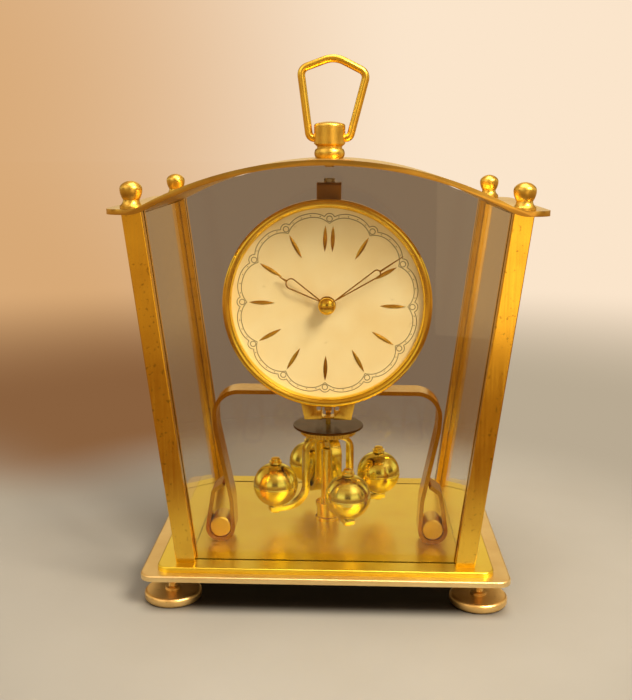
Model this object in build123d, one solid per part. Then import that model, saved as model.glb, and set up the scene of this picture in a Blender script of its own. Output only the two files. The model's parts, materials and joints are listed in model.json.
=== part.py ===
from build123d import *
from math import asin, atan2, cos, degrees, hypot, pi, radians, sin, sqrt, tan
import os

# A four-glass mantel clock with a torsion pendulum.
# Millimetres, +Z up, dial towards -Y. The origin is on the table, under the pendulum's axis.

# Fits
RUNNING = 0.06
SNUG = 0.03
GLASS_PLAY = 0.15
HEAD_PLAY = 0.15

# Levelling feet
FOOT_X = 65.8
FOOT_Y = 49.6
FOOT_RADIUS = 12.3
FOOT_HEIGHT = 4.0
FOOT_ROUNDING = 1.4
FOOT_SHOULDER_RADIUS = 3.4
FOOT_SHOULDER_HEIGHT = 0.9
FOOT_STUD_RADIUS = 2.0
FOOT_STUD_ENGAGED = 2.9
FOOT_TRAVEL_UP = 1.0

# Base: two plates, one on the other
BASE_UNDERSIDE = 12.75
BASE_HALF_WIDTH = 78.0
BASE_HALF_DEPTH = 63.0
BASE_THICKNESS = 2.4
BASE_CORNER = 6.0
BASE_EDGE = 0.8
PLINTH_HALF_WIDTH = 71.2
PLINTH_HALF_DEPTH = 58.9
PLINTH_THICKNESS = 2.3
PLINTH_CORNER = 5.0
PLINTH_EDGE = 0.7
PLINTH_TOP = BASE_UNDERSIDE + BASE_THICKNESS + PLINTH_THICKNESS

# Base screws
SCREW_RADIUS = 1.5
SCREW_HEAD_RADIUS = 3.2
SCREW_HEAD_HEIGHT = 1.3
SCREW_HEAD_RECESS = 1.5
SCREW_IN_PILLAR = 8.0

# Corner pillars
PILLAR_WIDTH = 8.3
PILLAR_FOOT_X = 59.3
PILLAR_Y = 49.8
PILLAR_LEAN = 6.9
PILLAR_EDGE = 0.45
PILLAR_TOP = 164.7

# Panes and their grooves
PANE = 2.0
PANE_SETBACK = 0.6
GROOVE_DEPTH = 2.0
PANE_TOP_GAP = 0.3

# Top plate: a bent sheet
TOP_THICKNESS = 2.2
TOP_OVERHANG = 10.7
TOP_SIDE_OVERHANG = 5.2
TOP_CORNER = 8.0
ARCH_APEX = 184.1
ARCH_RADIUS = 156.0
ARCH_BEND = 15.0
ARCH_CENTRE = ARCH_APEX - ARCH_RADIUS

# Finials
FINIAL_OUTSET = 0.68
FINIAL_COLLAR_RADIUS = 4.65
FINIAL_SEAT_RADIUS = 4.75
FINIAL_COLLAR_HEIGHT = 1.3
FINIAL_NECK_RADIUS = 3.25
FINIAL_NECK_HEIGHT = 3.6
FINIAL_BALL_RADIUS = 4.5
FINIAL_BALL_HEIGHT = 7.7
FINIAL_BALL_ROUNDING = 2.4
FINIAL_HEIGHT = 11.0
FINIAL_STUD_RADIUS = 1.5
FINIAL_STUD_LENGTH = 9.0

# Carrying loop and its post
POST_RADIUS = 6.9
POST_COLLAR_RADIUS = 6.75
POST_COLLAR_HEIGHT = 4.1
POST_WAIST_RADIUS = 5.55
POST_WAIST_HEIGHT = 1.3
POST_BODY_HEIGHT = 8.4
POST_CHAMFER = 0.8
POST_DOME = 2.0
POST_ROUNDING = 1.2
POST_STUD_RADIUS = 2.0
POST_STUD_LENGTH = 1.6
POST_NUT_RADIUS = 3.4
POST_NUT_HEIGHT = 1.0
BAIL_AXIS_HEIGHT = 8.6
BAIL_WIRE = 1.7
BAIL_PIN_END = 3.4
BAIL_PIN_BEND = 8.9
BAIL_SHOULDER_X = 14.5
BAIL_SHOULDER_HEIGHT = 28.6
BAIL_APEX_HEIGHT = 34.8
BAIL_SLANT = 3.3
BAIL_BENDS = (2.6, 3.6, 11.0, 3.6, 2.6)

# Strap frame that carries the movement
STRAP_FRONT = -29.5
STRAP_WIDTH = 12.0
STRAP_THICKNESS = 1.8
STRAP_TOP = 87.6
STRAP_SHOULDER_X = 49.9
STRAP_SHOULDER_BEND = 10.5
STRAP_KNEE_X = 49.0
STRAP_KNEE_Z = 70.0
STRAP_KNEE_BEND = 24.0
STRAP_ANKLE_X = 42.4
STRAP_ANKLE_Z = 37.0
STRAP_ANKLE_BEND = 24.0
STRAP_HEEL_X = 50.4
STRAP_HEEL_Z = 41.0
STRAP_HEEL_BEND = 2.2
STRAP_END_GAP = 0.35
STRAP_POST_X = 47.5
STRAP_POST_RADIUS = 4.7
STRAP_POST_DOME = 0.8

# Movement plates
FRONT_PLATE_FACE = -26.8
PLATE_THICKNESS = 1.6
PLATE_GAP = 16.0
PLATE_HALF_WIDTH = 25.0
PLATE_TOP = 157.0
PLATE_CORNER = 4.0
BACK_PLATE_BOTTOM = 86.4
PLATE_PILLAR_X = 20.5
PLATE_PILLAR_RADIUS = 2.7
PLATE_PILLAR_TOP_Z = 151.0
PLATE_SCREW_RADIUS = 1.2
PLATE_SCREW_HEAD_RADIUS = 2.4
PLATE_SCREW_HEAD_HEIGHT = 1.3
FRONT_SCREW_DEPTH = 2.6
BACK_SCREW_DEPTH = 4.0
SCREW_END_GAP = 0.3
SEAT_SCREW_Y = -21.5
PIVOT_RADIUS = 0.7
ARBOR_RADIUS = 0.9
CENTRE_ARBOR_RADIUS = 1.1

# Depths of the wheels between the plates, front face of each
CENTRE_WHEEL_FRONT = -24.6
BARREL_FRONT = -22.8
BARREL_DRUM_LENGTH = 8.2
THIRD_WHEEL_FRONT = -17.0
ESCAPE_WHEEL_FRONT = -13.5
FIRST_WHEEL_FRONT = -12.7
SECOND_WHEEL_FRONT = -11.2
WHEEL_THICKNESS = 0.9
BARREL_GEAR_THICKNESS = 1.2
PINION_OVERLAP = 0.4

# Going train: teeth and modules
BARREL_TEETH = 72
BARREL_MODULE = 0.4
FIRST_PINION_TEETH = 8
FIRST_TEETH = 72
FIRST_MODULE = 0.3
SECOND_PINION_TEETH = 8
SECOND_TEETH = 72
SECOND_MODULE = 0.3
CENTRE_PINION_TEETH = 9
CENTRE_TEETH = 48
CENTRE_MODULE = 0.45
THIRD_PINION_TEETH = 12
THIRD_TEETH = 40
THIRD_MODULE = 0.4
ESCAPE_PINION_TEETH = 12
ESCAPE_TEETH = 18
ESCAPE_RADIUS = 7.0
ESCAPE_ROOT_RADIUS = 5.4

# Motion work: twelve to one in two steps at one centre distance
CANNON_TEETH = 12
MINUTE_WHEEL_TEETH = 36
MINUTE_PINION_TEETH = 10
HOUR_WHEEL_TEETH = 40
MOTION_MODULE = 0.4
MINUTE_WHEEL_FRONT = -28.4
HOUR_WHEEL_FRONT = -30.2
MOTION_THICKNESS = 0.9

# Tooth form, as shares of the pitch and of the module
TOOTH_ROOT_SHARE = 0.56
TOOTH_TIP_SHARE = 0.2
LEAF_ROOT_SHARE = 0.4
LEAF_TIP_SHARE = 0.2
ADDENDUM = 0.85
DEDENDUM = 1.2

# Barrel
BARREL_X = 9.0
BARREL_BELOW_DIAL = 22.5
BARREL_DRUM_RADIUS = 13.4
BARREL_WALL = 0.8
WINDING_ARBOR_RADIUS = 1.9
BARREL_HUB_RADIUS = 4.2
MAINSPRING_INNER = 4.6
WINDING_SQUARE = 2.6
WINDING_END = 3.0
RATCHET_TEETH = 16
RATCHET_RADIUS = 5.8
RATCHET_ROOT = 4.9
RATCHET_THICKNESS = 1.1

# Anchor and fork
ANCHOR_HUB_RADIUS = 1.9
ANCHOR_ARM_WIDTH = 1.3
ANCHOR_PIN_HUB = 1.5
ANCHOR_PIN_HUB_WIDTH = 2.2
ANCHOR_ARM_OVERLAP = 0.8
NIB_OVERLAP = 0.6
PALLET_RELIEF = 0.15
PALLET_WIDTH = 0.5
PALLET_LENGTH = 2.3
ANCHOR_FRONT = -13.9
ANCHOR_THICKNESS = 1.6
ANCHOR_PIN_RADIUS = 0.45
ANCHOR_PIN_Y = -11.5
ANCHOR_PIN_TOP = 168.0
FORK_Z = 165.0
FORK_THICKNESS = 1.6
FORK_SLOT = 1.3
FORK_PRONG = 0.7
FORK_SLOT_LENGTH = 4.6
FORK_HEAD = 4.4
FORK_CLAMP = 3.4
FORK_STEM = 1.6

# Dial, bezel, hands
DIAL_Z = 126.0
DIAL_FACE = -32.0
DIAL_THICKNESS = 0.8
DIAL_RADIUS = 42.8
DIAL_TURN = 1.3
BEZEL_OUTER = 44.2
BEZEL_OPENING = 40.4
BEZEL_CROWN = 42.4
BEZEL_HEIGHT = 3.9
BEZEL_BACK = 1.2
DIAL_FOOT_RADIUS = 1.2
DIAL_FOOT_X = 19.0
DIAL_FOOT_ABOVE = 20.0
DIAL_FOOT_BELOW = 28.0
MARKER_INNER = 22.2
MARKER_OUTER = 33.2
MARKER_WIDTH = 1.7
MARKER_HEIGHT = 0.5
MARKER_PAIR_GAP = 3.2
CANNON_RADIUS = 1.9
HOUR_PIPE_RADIUS = 2.7
HAND_THICKNESS = 0.45
HAND_BAR = 0.55
HOUR_HAND_FRONT = -34.2
HOUR_HAND_ANGLE = -59.3
HOUR_LOOP_END = 20.0
HOUR_LOOP_WIDTH = 4.8
HOUR_HAND_LENGTH = 23.4
MINUTE_HAND_FRONT = -36.3
MINUTE_HAND_ANGLE = 56.3
MINUTE_LOOP_END = 26.6
MINUTE_LOOP_WIDTH = 3.5
MINUTE_HAND_LENGTH = 37.8
HAND_NUT_RADIUS = 3.65
HAND_NUT_HEIGHT = 3.3

# Suspension
BRACKET_HALF_WIDTH = 5.4
BRACKET_HEADROOM = 8.3
BRACKET_BOTTOM = 143.0
BRACKET_SHEET = 1.6
BRACKET_SCREW_X = 2.8
BRACKET_REACH = 4.6
BRACKET_WINDOW = 3.2
BRACKET_WINDOW_RISE = 3.0
TOP_BLOCK_WIDTH = 4.4
TOP_BLOCK_HEIGHT = 4.7
SUSPENSION_SCREW_HEAD = 2.4
SUSPENSION_SCREW_HEIGHT = 1.8
SPRING_WIDTH = 1.0
SPRING_THICKNESS = 0.2
BOTTOM_BLOCK_WIDTH = 3.4
BOTTOM_BLOCK_Z = 71.0
BOTTOM_BLOCK_HEIGHT = 5.5

# Guard under the movement
GUARD_SHEET = 1.2
GUARD_TOP = 94.0
GUARD_BOTTOM = 68.3
GUARD_TOP_HALF_WIDTH = 16.6
GUARD_BOTTOM_HALF_WIDTH = 10.7
GUARD_SLOT = 5.4
GUARD_SLOT_TOP = 73.5
GUARD_HOLE_RADIUS = 1.1
GUARD_HOLE_X = 4.2
GUARD_HOLE_Z = 73.6
GUARD_SCREW_X = 9.0
GUARD_SCREW_Z = 89.6
GUARD_TAB_HALF_WIDTH = 6.0
GUARD_TAB_END = 5.0

# Pendulum
PENDULUM_ROD_RADIUS = 1.2
PENDULUM_PIN_BOTTOM = 32.0
DISC_RADIUS = 16.3
DISC_TOP = 64.2
DISC_THICKNESS = 1.1
KNURL_RADIUS = 13.0
KNURL_HEIGHT = 3.0
KNURL_DEPTH = 0.35
KNURL_COUNT = 60
ARM_THICKNESS = 2.3
ARM_WIDTH = 4.6
ARM_START = 2.6
ARM_DROP_RADIUS = 11.0
ARM_UPPER_BEND = 6.0
ARM_LOWER_BEND = 9.5
ARM_END = 28.8
HUB_RADIUS = 5.2
HUB_NUT_RADIUS = 4.0
HUB_HEIGHT = 1.2
BALL_RADIUS = 10.3
BALL_CIRCLE = 25.9
BALL_BOTTOM = 27.2
BALL_SEAM = 0.25
BALL_ANGLE = -158.4
BALL_SCREW_RADIUS = 1.0
BALL_SCREW_HEAD = 1.9
BALL_NUT_RADIUS = 2.9
BALL_NUT_HEIGHT = 3.0

# Guide post on the plinth
GUIDE_FLANGE_RADIUS = 5.9
GUIDE_CUP_RADIUS = 5.2
GUIDE_CUP_HEIGHT = 8.6
GUIDE_COLLAR = 1.5
GUIDE_TUBE_RADIUS = 3.2
GUIDE_BORE = 2.2
GUIDE_TOP = 52.3
GUIDE_FLOOR = 28.0

BACK_OF_FRONT_PLATE = FRONT_PLATE_FACE + PLATE_THICKNESS
FACE_OF_BACK_PLATE = BACK_OF_FRONT_PLATE + PLATE_GAP
BACK_OF_BACK_PLATE = FACE_OF_BACK_PLATE + PLATE_THICKNESS
PANE_Y = PILLAR_Y - PANE_SETBACK
TOP_SURFACE = PILLAR_TOP + TOP_THICKNESS
POST_SEAT = ARCH_APEX + TOP_THICKNESS
BAIL_Z = POST_SEAT + BAIL_AXIS_HEIGHT
BRACKET_TOP = ARCH_APEX - BRACKET_HEADROOM
TOP_BLOCK_BOTTOM = BRACKET_TOP - BRACKET_SHEET - TOP_BLOCK_HEIGHT
STRAP_BACK = STRAP_FRONT + STRAP_WIDTH
STRAP_POST_Z = PLINTH_TOP + STRAP_THICKNESS + STRAP_POST_RADIUS
STRAP_SCREW_Y = STRAP_FRONT + STRAP_WIDTH / 2
PLATE_PILLAR_LOW_Z = STRAP_TOP + PLATE_PILLAR_RADIUS
BARREL_AT = (BARREL_X, DIAL_Z - BARREL_BELOW_DIAL)
FIRST_DIRECTION = 155.0
THIRD_DIRECTION = 50.0
MINUTE_WHEEL_DIRECTION = 215.0
PENDULUM_BALLS = 4


def on_front(sketch, front, back):
    """A flat piece that lies in the upright plane of the dial, between two depths."""
    return extrude(Plane.XZ.offset(-back) * sketch, amount=back - front)


def round_bar(at, radius, front, back):
    return on_front(Pos(at[0], at[1]) * Circle(radius), front, back)


def upright_bar(x, y, radius, bottom, top):
    return extrude(Plane.XY.offset(bottom) * Pos(x, y) * Circle(radius), amount=top - bottom)


def turned(profile):
    """A turned piece from half of its outline, given as radius and height."""
    return revolve(Plane.XZ * make_face(profile), Axis.Z)


def dome(radius, z, rounding, apex):
    """A curve from an upright side to the axis: a rounded shoulder that runs into a flatter crown."""
    inset = radius - rounding
    centre = ((apex - rounding) ** 2 - inset**2 - z**2) / (2 * (apex - rounding - z))
    crown = apex - centre
    tilt = atan2(z - centre, inset)
    half_tilt, crown_tilt = tilt / 2, (tilt + pi / 2) / 2
    shoulder = (inset + rounding * cos(half_tilt), z + rounding * sin(half_tilt))
    join = (crown * cos(tilt), centre + crown * sin(tilt))
    top = (crown * cos(crown_tilt), centre + crown * sin(crown_tilt))
    return [ThreePointArc((radius, z), shoulder, join), ThreePointArc(join, top, (0, apex))]


def facing_front(piece):
    """A piece turned about Z, laid so that its top faces the front, on the dial's axis."""
    return Pos(0, 0, DIAL_Z) * Rot(90, 0, 0) * piece


def bent_strip(points, bends, thickness, width):
    """A flat strip bent along a path in the XZ plane."""
    path = FilletPolyline(*[(x, 0, z) for x, z in points], radius=bends)
    start = Plane(origin=path @ 0, x_dir=(0, 1, 0), z_dir=path % 0)
    return sweep(start * Rectangle(width, thickness), path=path)


def pillar_x(z):
    """The middle of a right-hand pillar at a height."""
    return PILLAR_FOOT_X + (z - PLINTH_TOP) * tan(radians(PILLAR_LEAN))


FINIAL_X = pillar_x(PILLAR_TOP) + FINIAL_OUTSET
TOP_HALF_LENGTH = FINIAL_X + TOP_OVERHANG
TOP_HALF_DEPTH = PILLAR_Y + TOP_SIDE_OVERHANG


def leaning(low_x, high_x, front, back, bottom, top):
    """A block that leans as the pillars do; its sides are offsets from the pillar's middle."""
    corners = [
        (pillar_x(bottom) + low_x, bottom),
        (pillar_x(bottom) + high_x, bottom),
        (pillar_x(top) + high_x, top),
        (pillar_x(top) + low_x, top),
    ]
    return on_front(make_face(Polyline(*corners, close=True)), front, back)


def arch_region(rise):
    """Everything under the top plate's lower surface, raised by rise, as a face."""
    low = PLINTH_TOP
    ends = Pos(0, (low + PILLAR_TOP + rise) / 2) * Rectangle(2 * TOP_HALF_LENGTH, PILLAR_TOP + rise - low)
    arch = Pos(0, ARCH_CENTRE) * Circle(ARCH_RADIUS + rise)
    keep = Pos(0, ARCH_APEX) * Rectangle(2 * TOP_HALF_LENGTH, 2 * (ARCH_APEX - PILLAR_TOP) + 8)
    region = ends + (arch & keep)
    level = PILLAR_TOP + rise
    inner = [v for v in region.vertices() if abs(v.Y - level) < 0.01 and abs(v.X) < TOP_HALF_LENGTH - 1]
    return fillet(inner, ARCH_BEND - rise)


def meet(first, second, from_first, from_second, left):
    """The point at given distances from two others, on the left or right of the line between them."""
    dx, dz = second[0] - first[0], second[1] - first[1]
    span = hypot(dx, dz)
    along = (from_first**2 - from_second**2 + span**2) / (2 * span)
    aside = sqrt(from_first**2 - along**2) * (1 if left else -1)
    ux, uz = dx / span, dz / span
    return first[0] + along * ux - aside * uz, first[1] + along * uz + aside * ux


def beside(at, distance, direction):
    return at[0] + distance * cos(radians(direction)), at[1] + distance * sin(radians(direction))


def gear_distance(module, teeth, other_teeth):
    return module * (teeth + other_teeth) / 2


CENTRE_AT = (0.0, DIAL_Z)
FIRST_AT = beside(BARREL_AT, gear_distance(BARREL_MODULE, BARREL_TEETH, FIRST_PINION_TEETH), FIRST_DIRECTION)
SECOND_AT = meet(
    FIRST_AT,
    CENTRE_AT,
    gear_distance(FIRST_MODULE, FIRST_TEETH, SECOND_PINION_TEETH),
    gear_distance(SECOND_MODULE, SECOND_TEETH, CENTRE_PINION_TEETH),
    True,
)
THIRD_AT = beside(CENTRE_AT, gear_distance(CENTRE_MODULE, CENTRE_TEETH, THIRD_PINION_TEETH), THIRD_DIRECTION)
ESCAPE_DISTANCE = gear_distance(THIRD_MODULE, THIRD_TEETH, ESCAPE_PINION_TEETH)
ESCAPE_AT = (0.0, THIRD_AT[1] + sqrt(ESCAPE_DISTANCE**2 - THIRD_AT[0] ** 2))
ANCHOR_AT = (0.0, ESCAPE_AT[1] + sqrt(2) * ESCAPE_RADIUS)
MOTION_DISTANCE = gear_distance(MOTION_MODULE, CANNON_TEETH, MINUTE_WHEEL_TEETH)
MINUTE_WHEEL_AT = beside(CENTRE_AT, MOTION_DISTANCE, MINUTE_WHEEL_DIRECTION)
HOUR_MODULE = 2 * MOTION_DISTANCE / (MINUTE_PINION_TEETH + HOUR_WHEEL_TEETH)


def mesh_phase(at, teeth, phase, other_at, other_teeth):
    """The angle of the other gear's first tooth, so that its gap meets this gear's tooth."""
    line = atan2(other_at[1] - at[1], other_at[0] - at[0])
    pitch, other_pitch = 2 * pi / teeth, 2 * pi / other_teeth
    return line + pi + other_pitch * (-0.5 - (phase - line) / pitch)


def gear_outline(teeth, module, phase, root_share, tip_share):
    """Corner points of a gear: four for each tooth, from root to tip and back."""
    pitch = 2 * pi / teeth
    pitch_radius = module * teeth / 2
    root, tip = pitch_radius - DEDENDUM * module, pitch_radius + ADDENDUM * module
    points = []
    for tooth in range(teeth):
        middle = phase + tooth * pitch
        for radius, share in ((root, -root_share), (tip, -tip_share), (tip, tip_share), (root, root_share)):
            angle = middle + share * pitch / 2
            points.append((radius * cos(angle), radius * sin(angle)))
    return points


def wheel_face(teeth, module, phase):
    """A wheel with four spokes between rim and hub."""
    points = gear_outline(teeth, module, phase, TOOTH_ROOT_SHARE, TOOTH_TIP_SHARE)
    outline = make_face(Polyline(*points, close=True))
    pitch_radius = module * teeth / 2
    rim = pitch_radius - DEDENDUM * module - 0.12 * pitch_radius
    windows = Circle(rim) - Circle(0.32 * pitch_radius)
    for turn in (0, 90):
        windows -= Rot(0, 0, turn) * Rectangle(3 * rim, 0.16 * pitch_radius)
    return outline - windows


def pinion_face(teeth, module, phase):
    points = gear_outline(teeth, module, phase, LEAF_ROOT_SHARE, LEAF_TIP_SHARE)
    return make_face(Polyline(*points, close=True))


def gear_on(at, face, front, thickness):
    return on_front(Pos(at[0], at[1]) * face, front, front + thickness)


def arbor(at, front=BACK_OF_FRONT_PLATE, back=FACE_OF_BACK_PLATE):
    """An arbor between the plates, with a pivot at each end that runs in its plate."""
    body = round_bar(at, ARBOR_RADIUS, front + RUNNING, back - RUNNING)
    reach = PLATE_THICKNESS - RUNNING
    return body + round_bar(at, PIVOT_RADIUS, front - reach, back + reach)


# Phases of the gears, worked outwards from the centre arbor
CENTRE_WHEEL_PHASE = 0.0
CENTRE_PINION_PHASE = 0.0
THIRD_PINION_PHASE = mesh_phase(CENTRE_AT, CENTRE_TEETH, CENTRE_WHEEL_PHASE, THIRD_AT, THIRD_PINION_TEETH)
THIRD_WHEEL_PHASE = 0.0
ESCAPE_PINION_PHASE = mesh_phase(THIRD_AT, THIRD_TEETH, THIRD_WHEEL_PHASE, ESCAPE_AT, ESCAPE_PINION_TEETH)
SECOND_WHEEL_PHASE = mesh_phase(CENTRE_AT, CENTRE_PINION_TEETH, CENTRE_PINION_PHASE, SECOND_AT, SECOND_TEETH)
SECOND_PINION_PHASE = 0.0
FIRST_WHEEL_PHASE = mesh_phase(SECOND_AT, SECOND_PINION_TEETH, SECOND_PINION_PHASE, FIRST_AT, FIRST_TEETH)
FIRST_PINION_PHASE = 0.0
BARREL_PHASE = mesh_phase(FIRST_AT, FIRST_PINION_TEETH, FIRST_PINION_PHASE, BARREL_AT, BARREL_TEETH)
CANNON_PHASE = 0.0
MINUTE_WHEEL_PHASE = mesh_phase(
    CENTRE_AT, CANNON_TEETH, CANNON_PHASE, MINUTE_WHEEL_AT, MINUTE_WHEEL_TEETH
)
MINUTE_PINION_PHASE = 0.0
HOUR_WHEEL_PHASE = mesh_phase(
    MINUTE_WHEEL_AT, MINUTE_PINION_TEETH, MINUTE_PINION_PHASE, CENTRE_AT, HOUR_WHEEL_TEETH
)
ESCAPE_PITCH = 2 * pi / ESCAPE_TEETH
ESCAPE_PHASE = radians(45) + ESCAPE_PITCH / 4

MAIN_SCREWS = [(x, y) for x in (-PILLAR_FOOT_X, PILLAR_FOOT_X) for y in (-PILLAR_Y, PILLAR_Y)]
STRAP_SCREWS = [(x, STRAP_SCREW_Y) for x in (-STRAP_POST_X, STRAP_POST_X)]
FEET = {
    "front_left": (-FOOT_X, -FOOT_Y),
    "front_right": (FOOT_X, -FOOT_Y),
    "rear_left": (-FOOT_X, FOOT_Y),
    "rear_right": (FOOT_X, FOOT_Y),
}


def rounded_plate(half_width, half_depth, bottom, thickness, corner, edge):
    plate = extrude(
        Plane.XY.offset(bottom) * RectangleRounded(2 * half_width, 2 * half_depth, corner), amount=thickness
    )
    return fillet(plate.faces().sort_by(Axis.Z)[-1].edges(), edge)


def screw_holes(plate):
    recess = BASE_UNDERSIDE + SCREW_HEAD_RECESS
    for x, y in MAIN_SCREWS + STRAP_SCREWS + [(0, 0)]:
        plate -= upright_bar(x, y, SCREW_RADIUS + SNUG, BASE_UNDERSIDE - 1, PLINTH_TOP + 1)
        plate -= upright_bar(x, y, SCREW_HEAD_RADIUS + HEAD_PLAY, BASE_UNDERSIDE - 1, recess)
    stud_room = BASE_UNDERSIDE + FOOT_STUD_ENGAGED + FOOT_TRAVEL_UP + 0.2
    for x, y in FEET.values():
        plate -= upright_bar(x, y, FOOT_STUD_RADIUS + RUNNING, BASE_UNDERSIDE - 1, stud_room)
    return plate


def base_plate():
    """The lower plate: its screw heads are sunk, and the feet screw into it."""
    size = BASE_HALF_WIDTH, BASE_HALF_DEPTH
    return screw_holes(rounded_plate(*size, BASE_UNDERSIDE, BASE_THICKNESS, BASE_CORNER, BASE_EDGE))


def plinth_plate():
    size = PLINTH_HALF_WIDTH, PLINTH_HALF_DEPTH
    bottom = BASE_UNDERSIDE + BASE_THICKNESS
    return screw_holes(rounded_plate(*size, bottom, PLINTH_THICKNESS, PLINTH_CORNER, PLINTH_EDGE))


def levelling_foot(x, y):
    """A turned disc with a threaded stud."""
    disc = upright_bar(x, y, FOOT_RADIUS, 0, FOOT_HEIGHT)
    disc = fillet(disc.edges().filter_by(GeomType.CIRCLE), FOOT_ROUNDING)
    disc += upright_bar(x, y, FOOT_SHOULDER_RADIUS, FOOT_HEIGHT, FOOT_HEIGHT + FOOT_SHOULDER_HEIGHT)
    return disc + upright_bar(x, y, FOOT_STUD_RADIUS, FOOT_HEIGHT, BASE_UNDERSIDE + FOOT_STUD_ENGAGED)


def base_screws():
    """Screws from below: into the pillars, the strap's posts and the guide post."""
    head_top = BASE_UNDERSIDE + SCREW_HEAD_RECESS
    tops = [PLINTH_TOP + SCREW_IN_PILLAR] * 4 + [STRAP_POST_Z] * 2 + [PLINTH_TOP + 5]
    screws = []
    for (x, y), top in zip(MAIN_SCREWS + STRAP_SCREWS + [(0, 0)], tops):
        head = upright_bar(x, y, SCREW_HEAD_RADIUS, head_top - SCREW_HEAD_HEIGHT, head_top)
        screws.append(head + upright_bar(x, y, SCREW_RADIUS, head_top, top))
    return screws


def corner_pillar():
    """The right front pillar: a square bar, grooved for two panes and cut to the arch."""
    half = PILLAR_WIDTH / 2
    bar = leaning(-half, half, -PILLAR_Y - half, -PILLAR_Y + half, PLINTH_TOP, PILLAR_TOP + 3)
    bar = fillet(bar.edges().filter_by(lambda e: abs((e % 0.5).Z) > 0.9), PILLAR_EDGE)
    bar -= on_front(arch_region(6) - arch_region(0), -TOP_HALF_DEPTH, 0)
    slot = PANE / 2 + GLASS_PLAY
    ends = PLINTH_TOP - 1, PILLAR_TOP + 3
    bar -= leaning(-half - 1, -half + GROOVE_DEPTH, -PANE_Y - slot, -PANE_Y + slot, *ends)
    side_face = -PILLAR_Y + half
    groove = side_face - GROOVE_DEPTH, side_face + 1
    bar -= leaning(-PANE_SETBACK - slot, -PANE_SETBACK + slot, *groove, *ends)
    bore_end = PLINTH_TOP + SCREW_IN_PILLAR + 0.5
    bar -= upright_bar(PILLAR_FOOT_X, -PILLAR_Y, SCREW_RADIUS + SNUG, PLINTH_TOP - 1, bore_end)
    stud_end = TOP_SURFACE - FINIAL_STUD_LENGTH - 0.5
    return bar - upright_bar(FINIAL_X, -PILLAR_Y, FINIAL_STUD_RADIUS + SNUG, stud_end, PILLAR_TOP + 1)


def four_corners(piece):
    right = [piece, mirror(piece, about=Plane.XZ)]
    return right + [mirror(p, about=Plane.YZ) for p in right]


def top_plate():
    """A sheet bent to an arch, with flat round-cornered ends and a level seat cut for each finial."""
    sheet = on_front(arch_region(TOP_THICKNESS) - arch_region(0), -TOP_HALF_DEPTH, TOP_HALF_DEPTH)
    plan = RectangleRounded(2 * TOP_HALF_LENGTH, 2 * TOP_HALF_DEPTH, TOP_CORNER)
    height = ARCH_APEX - PILLAR_TOP + 4 * TOP_THICKNESS
    sheet &= extrude(Plane.XY.offset(PILLAR_TOP - 1) * plan, amount=height)
    for x in (-FINIAL_X, FINIAL_X):
        for y in (-PILLAR_Y, PILLAR_Y):
            sheet -= upright_bar(x, y, FINIAL_STUD_RADIUS + SNUG, PILLAR_TOP - 2, TOP_SURFACE + 4)
            sheet -= upright_bar(x, y, FINIAL_SEAT_RADIUS, TOP_SURFACE, TOP_SURFACE + 4)
    return sheet - upright_bar(0, 0, POST_STUD_RADIUS + SNUG, ARCH_APEX - 2, POST_SEAT + 2)


def finial():
    """A turned nut with a mushroom head, a waisted neck and a collar, on a threaded stud."""
    z = TOP_SURFACE
    stud_end = z - FINIAL_STUD_LENGTH
    collar_top = z + FINIAL_COLLAR_HEIGHT
    neck = (FINIAL_NECK_RADIUS, z + FINIAL_NECK_HEIGHT)
    widest = (FINIAL_BALL_RADIUS, z + FINIAL_BALL_HEIGHT)
    foot = ((FINIAL_COLLAR_RADIUS + neck[0]) / 2 - 0.3, (collar_top + neck[1]) / 2 - 0.2)
    cheek = ((neck[0] + widest[0]) / 2 + 0.3, (neck[1] + widest[1]) / 2 - 0.1)
    profile = [
        Polyline((0, stud_end), (FINIAL_STUD_RADIUS, stud_end), (FINIAL_STUD_RADIUS, z)),
        Polyline((FINIAL_STUD_RADIUS, z), (FINIAL_COLLAR_RADIUS, z), (FINIAL_COLLAR_RADIUS, collar_top)),
        ThreePointArc((FINIAL_COLLAR_RADIUS, collar_top), foot, neck),
        ThreePointArc(neck, cheek, widest),
        *dome(*widest, FINIAL_BALL_ROUNDING, z + FINIAL_HEIGHT),
        Line((0, z + FINIAL_HEIGHT), (0, stud_end)),
    ]
    return Pos(FINIAL_X, -PILLAR_Y, 0) * turned(profile)


def flat_pane():
    """The front pane: it follows the leaning pillars and the arch."""
    reach = PILLAR_WIDTH / 2 - GROOVE_DEPTH + 2 * GLASS_PLAY
    top = ARCH_APEX + 5
    side = [(pillar_x(PLINTH_TOP) - reach, PLINTH_TOP), (pillar_x(top) - reach, top)]
    corners = side + [(-x, z) for x, z in reversed(side)]
    outline = make_face(Polyline(*corners, close=True))
    return on_front(outline & arch_region(-PANE_TOP_GAP), -PANE_Y - PANE / 2, -PANE_Y + PANE / 2)


def side_pane():
    """The right pane: a rectangle that leans with the pillars."""
    reach = PILLAR_Y - PILLAR_WIDTH / 2 + GROOVE_DEPTH - 2 * GLASS_PLAY
    low, high = -PANE_SETBACK - PANE / 2, -PANE_SETBACK + PANE / 2
    return leaning(low, high, -reach, reach, PLINTH_TOP, PILLAR_TOP - PANE_TOP_GAP)


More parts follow.
